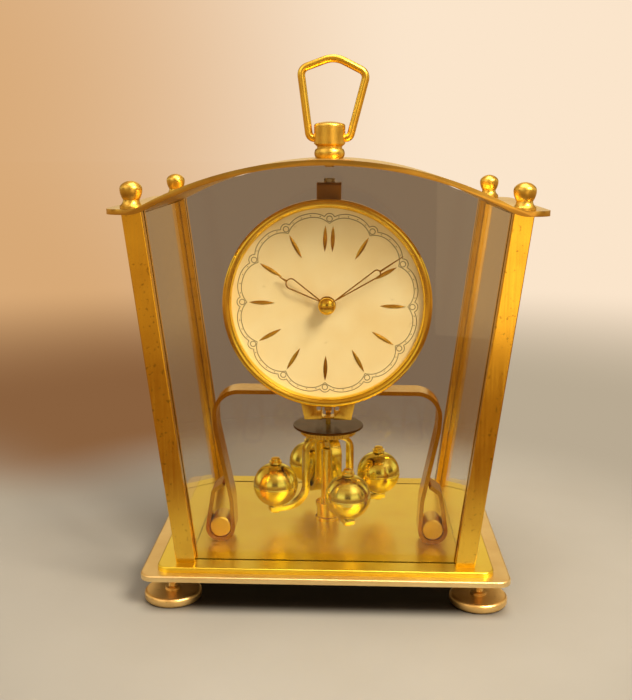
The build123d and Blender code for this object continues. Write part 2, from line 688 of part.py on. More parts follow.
def handle_post():
    """A turned post with a rounded collar, a waist and a domed head, cross-drilled for the loop."""
    z = POST_SEAT
    waist = z + POST_COLLAR_HEIGHT
    body = waist + POST_WAIST_HEIGHT
    shoulder = body + POST_BODY_HEIGHT
    apex = shoulder + POST_DOME
    collar_mid = (POST_COLLAR_RADIUS, z + POST_COLLAR_HEIGHT / 2)
    profile = [
        Polyline(
            (0, z - TOP_THICKNESS - POST_STUD_LENGTH),
            (POST_STUD_RADIUS, z - TOP_THICKNESS - POST_STUD_LENGTH),
            (POST_STUD_RADIUS, z),
            (POST_COLLAR_RADIUS - 0.7, z),
        ),
        ThreePointArc((POST_COLLAR_RADIUS - 0.7, z), collar_mid, (POST_COLLAR_RADIUS - 0.7, waist)),
        Polyline(
            (POST_COLLAR_RADIUS - 0.7, waist),
            (POST_WAIST_RADIUS, waist),
            (POST_WAIST_RADIUS, body - POST_CHAMFER / 2),
            (POST_RADIUS, body + POST_CHAMFER),
            (POST_RADIUS, shoulder),
        ),
        *dome(POST_RADIUS, shoulder, POST_ROUNDING, apex),
        Line((0, apex), (0, z - TOP_THICKNESS - POST_STUD_LENGTH)),
    ]
    post = turned(profile)
    cross = Plane.YZ.offset(-POST_RADIUS - 1) * Pos(0, BAIL_Z) * Circle(BAIL_WIRE + RUNNING)
    return post - extrude(cross, amount=2 * POST_RADIUS + 2)


def handle_nut():
    top = ARCH_APEX - 0.05
    hexagon = Plane.XY.offset(top - POST_NUT_HEIGHT) * RegularPolygon(POST_NUT_RADIUS, 6)
    nut = extrude(hexagon, amount=POST_NUT_HEIGHT)
    return nut - upright_bar(0, 0, POST_STUD_RADIUS + SNUG, top - POST_NUT_HEIGHT - 1, top + 1)


def handle_bail():
    """A wire loop whose turned-in ends are the pins; it sits a little crooked in its holes."""
    slant = radians(BAIL_SLANT)

    def slanted(x, z):
        return x * cos(slant) + z * sin(slant), -x * sin(slant) + z * cos(slant)

    loop = [
        (-BAIL_PIN_END, 0),
        (-BAIL_PIN_BEND, 0),
        slanted(-BAIL_SHOULDER_X, BAIL_SHOULDER_HEIGHT),
        slanted(0, BAIL_APEX_HEIGHT),
        slanted(BAIL_SHOULDER_X, BAIL_SHOULDER_HEIGHT),
        (BAIL_PIN_BEND, 0),
        (BAIL_PIN_END, 0),
    ]
    path = FilletPolyline(*[(x, 0, BAIL_Z + z) for x, z in loop], radius=BAIL_BENDS)
    start = Plane(origin=path @ 0, x_dir=(0, 1, 0), z_dir=path % 0)
    return sweep(start * Circle(BAIL_WIRE), path=path)


def guide_post():
    """A flanged cup with a tube in which the pendulum's pin turns."""
    z = PLINTH_TOP
    cup_top = z + GUIDE_CUP_HEIGHT
    profile = Polyline(
        (0, z),
        (GUIDE_FLANGE_RADIUS, z),
        (GUIDE_FLANGE_RADIUS, z + GUIDE_COLLAR),
        (GUIDE_CUP_RADIUS, z + GUIDE_COLLAR + 0.6),
        (GUIDE_CUP_RADIUS, cup_top - GUIDE_COLLAR - 0.4),
        (GUIDE_FLANGE_RADIUS - 0.2, cup_top - GUIDE_COLLAR),
        (GUIDE_FLANGE_RADIUS - 0.2, cup_top),
        (GUIDE_TUBE_RADIUS, cup_top),
        (GUIDE_TUBE_RADIUS, GUIDE_TOP),
        (GUIDE_BORE, GUIDE_TOP),
        (GUIDE_BORE, GUIDE_FLOOR),
        (0, GUIDE_FLOOR),
        close=True,
    )
    return turned(profile) - upright_bar(0, 0, SCREW_RADIUS + SNUG, z - 1, z + 5.5)


def tangent_corner(point, centre, radius, floor, outer):
    """Where the line from a point that just touches a circle meets a level."""
    dx, dz = centre[0] - point[0], centre[1] - point[1]
    span = hypot(dx, dz)
    towards = atan2(dz, dx)
    swing = asin(radius / span)
    direction = towards + swing if outer else towards - swing
    return point[0] + (floor - point[1]) * cos(direction) / sin(direction), floor


def strap_half():
    """Centreline of the strap's right half, from the top down and round the foot's loop."""
    half = STRAP_THICKNESS / 2
    level = STRAP_TOP - half
    round_post = STRAP_POST_RADIUS + half + SNUG
    post = (STRAP_POST_X, STRAP_POST_Z + SNUG)
    floor = post[1] - round_post
    ankle = (STRAP_ANKLE_X, STRAP_ANKLE_Z)
    heel = (STRAP_HEEL_X, STRAP_HEEL_Z)
    slope = (STRAP_KNEE_X - STRAP_ANKLE_X) / (STRAP_KNEE_Z - STRAP_ANKLE_Z)
    end_z = STRAP_HEEL_Z + 3.2
    end_x = STRAP_ANKLE_X + (end_z - STRAP_ANKLE_Z) * slope + half + half * 0.9 + STRAP_END_GAP
    points = [
        (STRAP_SHOULDER_X, level),
        (STRAP_KNEE_X, STRAP_KNEE_Z),
        ankle,
        tangent_corner(ankle, post, round_post, floor, False),
        tangent_corner(heel, post, round_post, floor, True),
        heel,
        (end_x, end_z),
    ]
    toe = round_post - 0.2
    bends = [STRAP_SHOULDER_BEND, STRAP_KNEE_BEND, STRAP_ANKLE_BEND, toe, toe, STRAP_HEEL_BEND]
    return points, bends


def strap_frame():
    """One flat strip: level under the movement, down both sides, looped round a post at each foot."""
    points, bends = strap_half()
    left = [(-x, z) for x, z in reversed(points)]
    strip = bent_strip(left + points, bends[::-1] + bends, STRAP_THICKNESS, STRAP_WIDTH)
    strip = Pos(0, STRAP_SCREW_Y, 0) * strip
    for x, y in STRAP_SCREWS:
        strip -= upright_bar(x, y, SCREW_RADIUS + SNUG, PLINTH_TOP - 1, PLINTH_TOP + STRAP_THICKNESS + 1)
    under = STRAP_TOP - STRAP_THICKNESS
    for x in (-PLATE_PILLAR_X, PLATE_PILLAR_X):
        strip -= upright_bar(x, SEAT_SCREW_Y, PLATE_SCREW_RADIUS + SNUG, under - 1, STRAP_TOP + 1)
    return strip


def strap_posts():
    """Two round brass pieces, domed in front, that the strap's loops close round."""
    posts = []
    for x in (-STRAP_POST_X, STRAP_POST_X):
        bar = round_bar((x, STRAP_POST_Z), STRAP_POST_RADIUS, STRAP_FRONT + 0.4, STRAP_BACK)
        bar = fillet(bar.faces().sort_by(Axis.Y)[0].edges(), STRAP_POST_DOME)
        bar -= upright_bar(x, STRAP_SCREW_Y, SCREW_RADIUS + SNUG, PLINTH_TOP, STRAP_POST_Z + 0.3)
        posts.append(bar)
    return posts


def plate_face(bottom):
    height = PLATE_TOP - bottom
    return Pos(0, bottom + height / 2) * RectangleRounded(2 * PLATE_HALF_WIDTH, height, PLATE_CORNER)


def plate_pillar_places():
    heights = (PLATE_PILLAR_LOW_Z, PLATE_PILLAR_TOP_Z)
    return [(x, z) for x in (-PLATE_PILLAR_X, PLATE_PILLAR_X) for z in heights]


def movement_plate(bottom, front, back, centre_hole):
    plate = on_front(plate_face(bottom), front, back)
    pivots = [FIRST_AT, SECOND_AT, THIRD_AT, ESCAPE_AT, ANCHOR_AT]
    holes = [(at, PIVOT_RADIUS + RUNNING) for at in pivots]
    holes += [(BARREL_AT, WINDING_ARBOR_RADIUS + RUNNING), (CENTRE_AT, centre_hole)]
    holes += [(at, PLATE_SCREW_RADIUS + SNUG) for at in plate_pillar_places()]
    for at, radius in holes:
        plate -= round_bar(at, radius, front - 1, back + 1)
    return plate


def front_plate():
    plate = movement_plate(STRAP_TOP, FRONT_PLATE_FACE, BACK_OF_FRONT_PLATE, CENTRE_ARBOR_RADIUS + RUNNING)
    return plate - round_bar(MINUTE_WHEEL_AT, PIVOT_RADIUS, FRONT_PLATE_FACE - 1, BACK_OF_FRONT_PLATE + 1)


def back_plate():
    plate = movement_plate(BACK_PLATE_BOTTOM, FACE_OF_BACK_PLATE, BACK_OF_BACK_PLATE, PIVOT_RADIUS + RUNNING)
    for at in guard_screw_places() + bracket_screw_places():
        plate -= round_bar(at, PLATE_SCREW_RADIUS + SNUG, FACE_OF_BACK_PLATE - 1, BACK_OF_BACK_PLATE + 1)
    ends = FACE_OF_BACK_PLATE - 1, BACK_OF_BACK_PLATE + 1
    return plate - round_bar(click_pivot(), PIVOT_RADIUS + SNUG, *ends)


def plate_pillars():
    """Four round spacers between the plates; the lower two stand on the strap and take its screws."""
    pillars = []
    for x, z in plate_pillar_places():
        bar = round_bar((x, z), PLATE_PILLAR_RADIUS, BACK_OF_FRONT_PLATE, FACE_OF_BACK_PLATE)
        hole = PLATE_SCREW_RADIUS + SNUG
        bar -= round_bar((x, z), hole, BACK_OF_FRONT_PLATE - 1, BACK_OF_FRONT_PLATE + FRONT_SCREW_DEPTH)
        bar -= round_bar((x, z), hole, FACE_OF_BACK_PLATE - BACK_SCREW_DEPTH, FACE_OF_BACK_PLATE + 1)
        if z == PLATE_PILLAR_LOW_Z:
            bar -= upright_bar(x, SEAT_SCREW_Y, hole, STRAP_TOP - 1, z + 1)
        pillars.append(bar)
    return pillars


def screw_on_front(at, head_back, shank_end, towards_back):
    """A cheese-head screw along Y; the head is behind or in front of what it holds."""
    sign = 1 if towards_back else -1
    head_front = head_back + sign * PLATE_SCREW_HEAD_HEIGHT
    head = round_bar(at, PLATE_SCREW_HEAD_RADIUS, min(head_back, head_front), max(head_back, head_front))
    return head + round_bar(at, PLATE_SCREW_RADIUS, min(head_back, shank_end), max(head_back, shank_end))


def guard_screw_places():
    return [(x, GUARD_SCREW_Z) for x in (-GUARD_SCREW_X, GUARD_SCREW_X)]


def bracket_screw_places():
    return [(x, BRACKET_BOTTOM + 3.6) for x in (-BRACKET_SCREW_X, BRACKET_SCREW_X)]


def movement_screws():
    """Screws of the plates, the strap seat, the guard and the suspension bracket."""
    screws = []
    front_end = BACK_OF_FRONT_PLATE + FRONT_SCREW_DEPTH - SCREW_END_GAP
    back_end = FACE_OF_BACK_PLATE - BACK_SCREW_DEPTH + SCREW_END_GAP
    for at in plate_pillar_places():
        screws.append(screw_on_front(at, FRONT_PLATE_FACE, front_end, False))
        screws.append(screw_on_front(at, BACK_OF_BACK_PLATE, back_end, True))
    for at in guard_screw_places():
        screws.append(screw_on_front(at, BACK_OF_BACK_PLATE + GUARD_SHEET, FACE_OF_BACK_PLATE + 0.3, True))
    for at in bracket_screw_places():
        screws.append(screw_on_front(at, BACK_OF_BACK_PLATE + BRACKET_SHEET, FACE_OF_BACK_PLATE + 0.3, True))
    under = STRAP_TOP - STRAP_THICKNESS
    for x in (-PLATE_PILLAR_X, PLATE_PILLAR_X):
        head = upright_bar(x, SEAT_SCREW_Y, PLATE_SCREW_HEAD_RADIUS, under - PLATE_SCREW_HEAD_HEIGHT, under)
        top = PLATE_PILLAR_LOW_Z + 0.6
        screws.append(head + upright_bar(x, SEAT_SCREW_Y, PLATE_SCREW_RADIUS, under, top))
    return screws


def mainspring_barrel():
    """A drum with a toothed end plate, hollow for its spring."""
    back = BARREL_FRONT + BARREL_DRUM_LENGTH
    points = gear_outline(BARREL_TEETH, BARREL_MODULE, BARREL_PHASE, TOOTH_ROOT_SHARE, TOOTH_TIP_SHARE)
    toothed = make_face(Polyline(*points, close=True))
    drum = round_bar(BARREL_AT, BARREL_DRUM_RADIUS, BARREL_FRONT, back)
    drum += gear_on(BARREL_AT, toothed, back, BARREL_GEAR_THICKNESS)
    inside = BARREL_DRUM_RADIUS - BARREL_WALL
    drum -= round_bar(BARREL_AT, inside, BARREL_FRONT + BARREL_WALL, back)
    return drum - round_bar(
        BARREL_AT, WINDING_ARBOR_RADIUS + RUNNING, BARREL_FRONT - 1, back + BARREL_GEAR_THICKNESS + 1
    )


def mainspring():
    """The coiled spring as one ring of its outer and inner size."""
    front = BARREL_FRONT + BARREL_WALL + 0.3
    back = BARREL_FRONT + BARREL_DRUM_LENGTH - 0.3
    ring = round_bar(BARREL_AT, BARREL_DRUM_RADIUS - BARREL_WALL - 0.3, front, back)
    return ring - round_bar(BARREL_AT, MAINSPRING_INNER, front - 1, back + 1)


def winding_arbor():
    """The barrel's arbor: a hub for the spring, and a square behind for ratchet and key."""
    inner_front = BARREL_FRONT + BARREL_WALL + 0.2
    inner_back = BARREL_FRONT + BARREL_DRUM_LENGTH - 0.2
    bar = round_bar(BARREL_AT, WINDING_ARBOR_RADIUS, FRONT_PLATE_FACE, BACK_OF_BACK_PLATE)
    bar += round_bar(BARREL_AT, BARREL_HUB_RADIUS, inner_front, inner_back)
    square = Pos(*BARREL_AT) * Rectangle(WINDING_SQUARE, WINDING_SQUARE)
    return bar + on_front(square, BACK_OF_BACK_PLATE, WINDING_END)


def ratchet_angle(tooth):
    return 2 * pi * tooth / RATCHET_TEETH


def ratchet_wheel():
    """Saw teeth with a square hole, on the winding arbor behind the back plate."""
    points = []
    for tooth in range(RATCHET_TEETH):
        for radius, angle in ((RATCHET_ROOT, ratchet_angle(tooth)), (RATCHET_RADIUS, ratchet_angle(tooth))):
            points.append((radius * cos(angle), radius * sin(angle)))
    hole = Rectangle(WINDING_SQUARE + 2 * SNUG, WINDING_SQUARE + 2 * SNUG)
    face = make_face(Polyline(*points, close=True)) - hole
    front = BACK_OF_BACK_PLATE + SNUG
    return gear_on(BARREL_AT, face, front, RATCHET_THICKNESS)


def click_pivot():
    return BARREL_AT[0] + RATCHET_RADIUS + 3.4, BARREL_AT[1] - 4.5


def click():
    """The pawl that lies against a ratchet tooth, on its own stud in the back plate."""
    nose = ratchet_angle(RATCHET_TEETH)
    gap = 0.12
    low, high = RATCHET_ROOT + 0.3, RATCHET_RADIUS + 0.9
    pivot = click_pivot()
    tip = [
        (BARREL_AT[0] + low * cos(nose) + gap, BARREL_AT[1] - gap),
        (BARREL_AT[0] + high * cos(nose), BARREL_AT[1] - gap),
        (pivot[0] + 1.5, pivot[1] + 0.8),
        (pivot[0] - 1.5, pivot[1] - 0.8),
    ]
    front = BACK_OF_BACK_PLATE + SNUG
    back = front + RATCHET_THICKNESS
    lever = on_front(make_face(Polyline(*tip, close=True)), front, back)
    lever += round_bar(pivot, 1.7, front, back)
    below = Rectangle(6 * RATCHET_RADIUS, 2 * RATCHET_RADIUS)
    below = Pos(BARREL_AT[0], BARREL_AT[1] - RATCHET_RADIUS - 0.9) * below
    ring = round_bar(BARREL_AT, RATCHET_RADIUS + gap, front - 1, back + 1)
    lever -= ring & on_front(below, front - 1, back + 1)
    return lever + round_bar(pivot, PIVOT_RADIUS, FACE_OF_BACK_PLATE + 0.2, front)


def pinion_slab(at, face, wheel_front, wheel_thickness):
    """A pinion a little wider than the wheel that it meets."""
    return gear_on(at, face, wheel_front - PINION_OVERLAP, wheel_thickness + 2 * PINION_OVERLAP)


def first_wheel():
    face = wheel_face(FIRST_TEETH, FIRST_MODULE, FIRST_WHEEL_PHASE)
    wheel = gear_on(FIRST_AT, face, FIRST_WHEEL_FRONT, WHEEL_THICKNESS)
    leaves = pinion_face(FIRST_PINION_TEETH, BARREL_MODULE, FIRST_PINION_PHASE)
    barrel_gear = BARREL_FRONT + BARREL_DRUM_LENGTH
    return wheel + arbor(FIRST_AT) + pinion_slab(FIRST_AT, leaves, barrel_gear, BARREL_GEAR_THICKNESS)


def second_wheel():
    face = wheel_face(SECOND_TEETH, SECOND_MODULE, SECOND_WHEEL_PHASE)
    wheel = gear_on(SECOND_AT, face, SECOND_WHEEL_FRONT, WHEEL_THICKNESS)
    leaves = pinion_face(SECOND_PINION_TEETH, FIRST_MODULE, SECOND_PINION_PHASE)
    return wheel + arbor(SECOND_AT) + pinion_slab(SECOND_AT, leaves, FIRST_WHEEL_FRONT, WHEEL_THICKNESS)


def centre_wheel():
    """The arbor that turns once an hour: it reaches through the dial and carries the hand nut."""
    face = wheel_face(CENTRE_TEETH, CENTRE_MODULE, CENTRE_WHEEL_PHASE)
    wheel = gear_on(CENTRE_AT, face, CENTRE_WHEEL_FRONT, WHEEL_THICKNESS)
    leaves = pinion_face(CENTRE_PINION_TEETH, SECOND_MODULE, CENTRE_PINION_PHASE)
    wheel += pinion_slab(CENTRE_AT, leaves, SECOND_WHEEL_FRONT, WHEEL_THICKNESS)
    nose = MINUTE_HAND_FRONT - HAND_NUT_HEIGHT / 2
    wheel += round_bar(CENTRE_AT, CENTRE_ARBOR_RADIUS, nose, FACE_OF_BACK_PLATE - RUNNING)
    return wheel + round_bar(CENTRE_AT, PIVOT_RADIUS, FACE_OF_BACK_PLATE - 1, BACK_OF_BACK_PLATE - RUNNING)


def third_wheel():
    face = wheel_face(THIRD_TEETH, THIRD_MODULE, THIRD_WHEEL_PHASE)
    wheel = gear_on(THIRD_AT, face, THIRD_WHEEL_FRONT, WHEEL_THICKNESS)
    leaves = pinion_face(THIRD_PINION_TEETH, CENTRE_MODULE, THIRD_PINION_PHASE)
    return wheel + arbor(THIRD_AT) + pinion_slab(THIRD_AT, leaves, CENTRE_WHEEL_FRONT, WHEEL_THICKNESS)


def escape_wheel():
    """Eighteen slanted, pointed teeth."""
    points = []
    for tooth in range(ESCAPE_TEETH):
        middle = ESCAPE_PHASE + tooth * ESCAPE_PITCH
        foot, tip = ESCAPE_ROOT_RADIUS, ESCAPE_RADIUS
        for radius, share in ((foot, -0.04), (tip, -0.04), (tip, 0.04), (foot, 0.3)):
            angle = middle + share * ESCAPE_PITCH
            points.append((radius * cos(angle), radius * sin(angle)))
    windows = Circle(ESCAPE_ROOT_RADIUS - 0.8) - Circle(2.0)
    for turn in (0, 90):
        windows -= Rot(0, 0, turn) * Rectangle(3 * ESCAPE_ROOT_RADIUS, 1.0)
    face = make_face(Polyline(*points, close=True)) - windows
    wheel = gear_on(ESCAPE_AT, face, ESCAPE_WHEEL_FRONT, WHEEL_THICKNESS)
    leaves = pinion_face(ESCAPE_PINION_TEETH, THIRD_MODULE, ESCAPE_PINION_PHASE)
    return wheel + arbor(ESCAPE_AT) + pinion_slab(ESCAPE_AT, leaves, THIRD_WHEEL_FRONT, WHEEL_THICKNESS)


def anchor():
    """Two pallets on an arbor, with the upright pin that the fork moves."""
    back = ANCHOR_FRONT + ANCHOR_THICKNESS
    reach = ESCAPE_RADIUS + PALLET_RELIEF
    body = arbor(ANCHOR_AT) + round_bar(ANCHOR_AT, ANCHOR_HUB_RADIUS, ANCHOR_FRONT, back)
    for side in (45, 135):
        nib = Pos(reach + PALLET_LENGTH / 2, 0) * Rectangle(PALLET_LENGTH, PALLET_WIDTH)
        nib = Pos(*ESCAPE_AT) * Rot(0, 0, side) * nib
        end = beside(ESCAPE_AT, reach + PALLET_LENGTH - NIB_OVERLAP, side)
        length = hypot(end[0] - ANCHOR_AT[0], end[1] - ANCHOR_AT[1])
        turn = degrees(atan2(end[1] - ANCHOR_AT[1], end[0] - ANCHOR_AT[0]))
        arm = Pos(length / 2, 0) * Rectangle(length + ANCHOR_ARM_OVERLAP, ANCHOR_ARM_WIDTH)
        arm = Pos(*ANCHOR_AT) * Rot(0, 0, turn) * arm
        body += on_front(nib + arm, ANCHOR_FRONT, back)
    pin_hub = ANCHOR_PIN_HUB_WIDTH / 2
    body += round_bar(ANCHOR_AT, ANCHOR_PIN_HUB, ANCHOR_PIN_Y - pin_hub, ANCHOR_PIN_Y + pin_hub)
    return body + upright_bar(0, ANCHOR_PIN_Y, ANCHOR_PIN_RADIUS, ANCHOR_AT[1], ANCHOR_PIN_TOP)


def fork():
    """Clamped on the suspension spring, with two prongs round the anchor's pin."""
    bottom = FORK_Z - FORK_THICKNESS / 2
    prong_width = FORK_SLOT + 2 * FORK_PRONG
    root = ANCHOR_PIN_Y + 1.6
    plan = Rectangle(FORK_CLAMP, FORK_CLAMP) + Pos(0, root / 2) * Rectangle(FORK_STEM, -root + 1)
    plan += Pos(0, root - 1.9) * Rectangle(prong_width, FORK_HEAD)
    plan -= Pos(0, root - 3.0) * Rectangle(FORK_SLOT, FORK_SLOT_LENGTH)
    plan -= Circle(0.8)
    return extrude(Plane.XY.offset(bottom) * plan, amount=FORK_THICKNESS)


def cannon_pinion():
    """A tube on the centre arbor, with the pinion of the motion work at its foot."""
    leaves = pinion_face(CANNON_TEETH, MOTION_MODULE, CANNON_PHASE)
    foot = FRONT_PLATE_FACE - 0.3
    tube = round_bar(CENTRE_AT, CANNON_RADIUS - SNUG, MINUTE_HAND_FRONT, foot)
    tube += gear_on(CENTRE_AT, leaves, MINUTE_WHEEL_FRONT - 0.2, MOTION_THICKNESS + 0.4)
    return tube - round_bar(CENTRE_AT, CENTRE_ARBOR_RADIUS + SNUG, MINUTE_HAND_FRONT - 1, foot + 1)


def minute_wheel():
    """Wheel and pinion on a stud of the front plate."""
    face = wheel_face(MINUTE_WHEEL_TEETH, MOTION_MODULE, MINUTE_WHEEL_PHASE)
    wheel = gear_on(MINUTE_WHEEL_AT, face, MINUTE_WHEEL_FRONT, MOTION_THICKNESS)
    leaves = pinion_face(MINUTE_PINION_TEETH, HOUR_MODULE, MINUTE_PINION_PHASE)
    length = MINUTE_WHEEL_FRONT - HOUR_WHEEL_FRONT + 0.6
    wheel += gear_on(MINUTE_WHEEL_AT, leaves, HOUR_WHEEL_FRONT - 0.2, length)
    return wheel - round_bar(MINUTE_WHEEL_AT, PIVOT_RADIUS + RUNNING, DIAL_FACE, FRONT_PLATE_FACE)


def minute_stud():
    """The stud, riveted in the front plate, on which the minute wheel turns."""
    return round_bar(MINUTE_WHEEL_AT, PIVOT_RADIUS, HOUR_WHEEL_FRONT - 0.5, BACK_OF_FRONT_PLATE)


def hour_wheel():
    """Wheel on a pipe that turns over the cannon pinion and carries the hour hand."""
    face = wheel_face(HOUR_WHEEL_TEETH, HOUR_MODULE, HOUR_WHEEL_PHASE)
    face += Circle(HOUR_PIPE_RADIUS)
    wheel = gear_on(CENTRE_AT, face, HOUR_WHEEL_FRONT, MOTION_THICKNESS)
    wheel += round_bar(CENTRE_AT, HOUR_PIPE_RADIUS, HOUR_HAND_FRONT, HOUR_WHEEL_FRONT)
    return wheel - round_bar(CENTRE_AT, CANNON_RADIUS + RUNNING, HOUR_HAND_FRONT - 1, HOUR_WHEEL_FRONT + 2)


def dial():
    disc = round_bar(CENTRE_AT, DIAL_RADIUS, DIAL_FACE, DIAL_FACE + DIAL_THICKNESS)
    return disc - round_bar(CENTRE_AT, HOUR_PIPE_RADIUS + 0.2, DIAL_FACE - 1, DIAL_FACE + 2)


def dial_feet():
    """Three posts that hold the dial off the front plate."""
    upper = DIAL_Z + DIAL_FOOT_ABOVE
    places = [(-DIAL_FOOT_X, upper), (DIAL_FOOT_X, upper), (0.0, DIAL_Z - DIAL_FOOT_BELOW)]
    return [round_bar(at, DIAL_FOOT_RADIUS, DIAL_FACE + DIAL_THICKNESS, FRONT_PLATE_FACE) for at in places]


def bezel():
    """A turned ring, rounded in front, that the dial lies in."""
    front = DIAL_FACE - BEZEL_HEIGHT
    lip = DIAL_FACE - SNUG
    back = DIAL_FACE + BEZEL_BACK
    profile = [
        Polyline((BEZEL_OPENING, lip), (BEZEL_OPENING, lip - 0.9)),
        ThreePointArc((BEZEL_OPENING, lip - 0.9), (BEZEL_OPENING + 0.75, front + 0.8), (BEZEL_CROWN, front)),
        ThreePointArc((BEZEL_CROWN, front), (BEZEL_OUTER - 0.42, front + 0.6), (BEZEL_OUTER, front + 2.1)),
        Polyline(
            (BEZEL_OUTER, front + 2.1),
            (BEZEL_OUTER, back),
            (DIAL_RADIUS + SNUG, back),
            (DIAL_RADIUS + SNUG, lip),
            (BEZEL_OPENING, lip),
        ),
    ]
    ring = revolve(make_face(profile), Axis.Y)
    return Pos(0, 0, DIAL_Z) * ring


def leaf_marker():
    """A lens-shaped bar with a ridge, upright above the centre."""
    middle = (MARKER_INNER + MARKER_OUTER) / 2
    half = (MARKER_OUTER - MARKER_INNER) / 2
    outline = [
        ThreePointArc((0, middle - half), (MARKER_WIDTH / 2, middle), (0, middle + half)),
        ThreePointArc((0, middle + half), (-MARKER_WIDTH / 2, middle), (0, middle - half)),
    ]
    return make_face(outline)


def hour_markers():
    """Applied bars, one for each hour and two at the twelve."""
    places = [(0, hour) for hour in range(1, 12)] + [(-MARKER_PAIR_GAP / 2, 12), (MARKER_PAIR_GAP / 2, 12)]
    markers = []
    for aside, hour in places:
        face = Pos(0, DIAL_Z) * Rot(0, 0, -30 * hour - DIAL_TURN) * Pos(aside, 0) * leaf_marker()
        markers.append(on_front(face, DIAL_FACE - MARKER_HEIGHT, DIAL_FACE))
    return markers


def skeleton_hand(loop_end, loop_width, length, hub, bore, front, angle):
    """An open teardrop that ends in a needle, on a round hub."""
    half = loop_width / 2
    lobe = loop_end - half
    slope = asin(half / lobe)
    touch = (half * cos(slope), lobe - half * sin(slope))
    drop = make_face(Polyline((0, 0), touch, (-touch[0], touch[1]), close=True))
    drop += Pos(0, lobe) * Circle(half)
    inner_half = half - HAND_BAR
    inner_touch = (inner_half * cos(slope), lobe - inner_half * sin(slope))
    tip = HAND_BAR / sin(slope)
    inner = make_face(Polyline((0, tip), inner_touch, (-inner_touch[0], inner_touch[1]), close=True))
    inner += Pos(0, lobe) * Circle(inner_half)
    needle_foot = loop_end - HAND_BAR / 2
    needle = make_face(
        Polyline(
            (-HAND_BAR * 0.8, needle_foot),
            (HAND_BAR * 0.8, needle_foot),
            (HAND_BAR * 0.3, length),
            (-HAND_BAR * 0.3, length),
            close=True,
        )
    )
    face = drop - inner + needle + Circle(hub) - Circle(bore)
    return gear_on(CENTRE_AT, Rot(0, 0, -angle) * face, front, HAND_THICKNESS)


def hour_hand():
    return skeleton_hand(
        HOUR_LOOP_END,
        HOUR_LOOP_WIDTH,
        HOUR_HAND_LENGTH,
        HOUR_PIPE_RADIUS + 1.1,
        HOUR_PIPE_RADIUS + SNUG,
        HOUR_HAND_FRONT,
        HOUR_HAND_ANGLE,
    )


def minute_hand():
    return skeleton_hand(
        MINUTE_LOOP_END,
        MINUTE_LOOP_WIDTH,
        MINUTE_HAND_LENGTH,
        CANNON_RADIUS + 1.2,
        CANNON_RADIUS,
        MINUTE_HAND_FRONT,
        MINUTE_HAND_ANGLE,
    )


def hand_nut():
    """A domed nut on the end of the centre arbor."""
    profile = [
        Polyline((0, 0), (HAND_NUT_RADIUS - 0.3, 0), (HAND_NUT_RADIUS, HAND_NUT_HEIGHT * 0.25)),
        *dome(HAND_NUT_RADIUS, HAND_NUT_HEIGHT * 0.25, 1.4, HAND_NUT_HEIGHT),
        Line((0, HAND_NUT_HEIGHT), (0, 0)),
    ]
    nut = turned(profile) - upright_bar(0, 0, CENTRE_ARBOR_RADIUS + SNUG, -1, HAND_NUT_HEIGHT / 2 + 0.2)
    return Pos(0, MINUTE_HAND_FRONT - SNUG, 0) * facing_front(nut)


def suspension_bracket():
    """A sheet screwed behind the back plate, bent back at the top to hold the suspension."""
    front = BACK_OF_BACK_PLATE
    back = front + BRACKET_SHEET
    height = BRACKET_TOP - BRACKET_BOTTOM
    upright = Pos(0, BRACKET_BOTTOM + height / 2) * Rectangle(2 * BRACKET_HALF_WIDTH, height)
    window_bottom = PLATE_TOP + 2
    window_top = FORK_Z + BRACKET_WINDOW_RISE
    window = Rectangle(2 * BRACKET_WINDOW, window_top - window_bottom)
    window = Pos(0, (window_bottom + window_top) / 2) * window
    sheet = on_front(upright - window, front, back)
    shelf = Pos(0, (front + BRACKET_REACH) / 2) * Rectangle(2 * BRACKET_HALF_WIDTH, BRACKET_REACH - front)
    sheet += extrude(Plane.XY.offset(BRACKET_TOP - BRACKET_SHEET) * shelf, amount=BRACKET_SHEET)
    corner = sheet.edges().filter_by(Axis.X).filter_by(
        lambda e: abs(e.center().Y - front) < 0.01 and abs(e.center().Z - BRACKET_TOP) < 0.01
    )
    sheet = fillet(corner, BRACKET_SHEET * 0.8)
    for at in bracket_screw_places():
        sheet -= round_bar(at, PLATE_SCREW_RADIUS + SNUG, front - 1, back + 1)
    return sheet - upright_bar(0, 0, PLATE_SCREW_RADIUS + SNUG, BRACKET_TOP - 3, BRACKET_TOP + 1)


def top_block():
    """The block that grips the spring's upper end, with the screw that hangs it from the bracket."""
    under = BRACKET_TOP - BRACKET_SHEET
    square = Plane.XY.offset(TOP_BLOCK_BOTTOM) * Rectangle(TOP_BLOCK_WIDTH, TOP_BLOCK_WIDTH)
    block = extrude(square, amount=under - TOP_BLOCK_BOTTOM)
    return block - upright_bar(0, 0, PLATE_SCREW_RADIUS + SNUG, under - 2.2, under + 1)


def suspension_screw():
    head = upright_bar(0, 0, SUSPENSION_SCREW_HEAD, BRACKET_TOP, BRACKET_TOP + SUSPENSION_SCREW_HEIGHT)
    head = fillet(head.faces().sort_by(Axis.Z)[-1].edges(), 0.5)
    return head + upright_bar(0, 0, PLATE_SCREW_RADIUS, BRACKET_TOP - BRACKET_SHEET - 2, BRACKET_TOP)


def suspension_spring():
    """The thin ribbon that the pendulum hangs from."""
    bottom = BOTTOM_BLOCK_Z + BOTTOM_BLOCK_HEIGHT
    ribbon = Rectangle(SPRING_WIDTH, SPRING_THICKNESS)
    return extrude(Plane.XY.offset(bottom) * ribbon, amount=TOP_BLOCK_BOTTOM - bottom)


def bottom_block():
    square = Rectangle(BOTTOM_BLOCK_WIDTH, BOTTOM_BLOCK_WIDTH)
    return extrude(Plane.XY.offset(BOTTOM_BLOCK_Z) * square, amount=BOTTOM_BLOCK_HEIGHT)


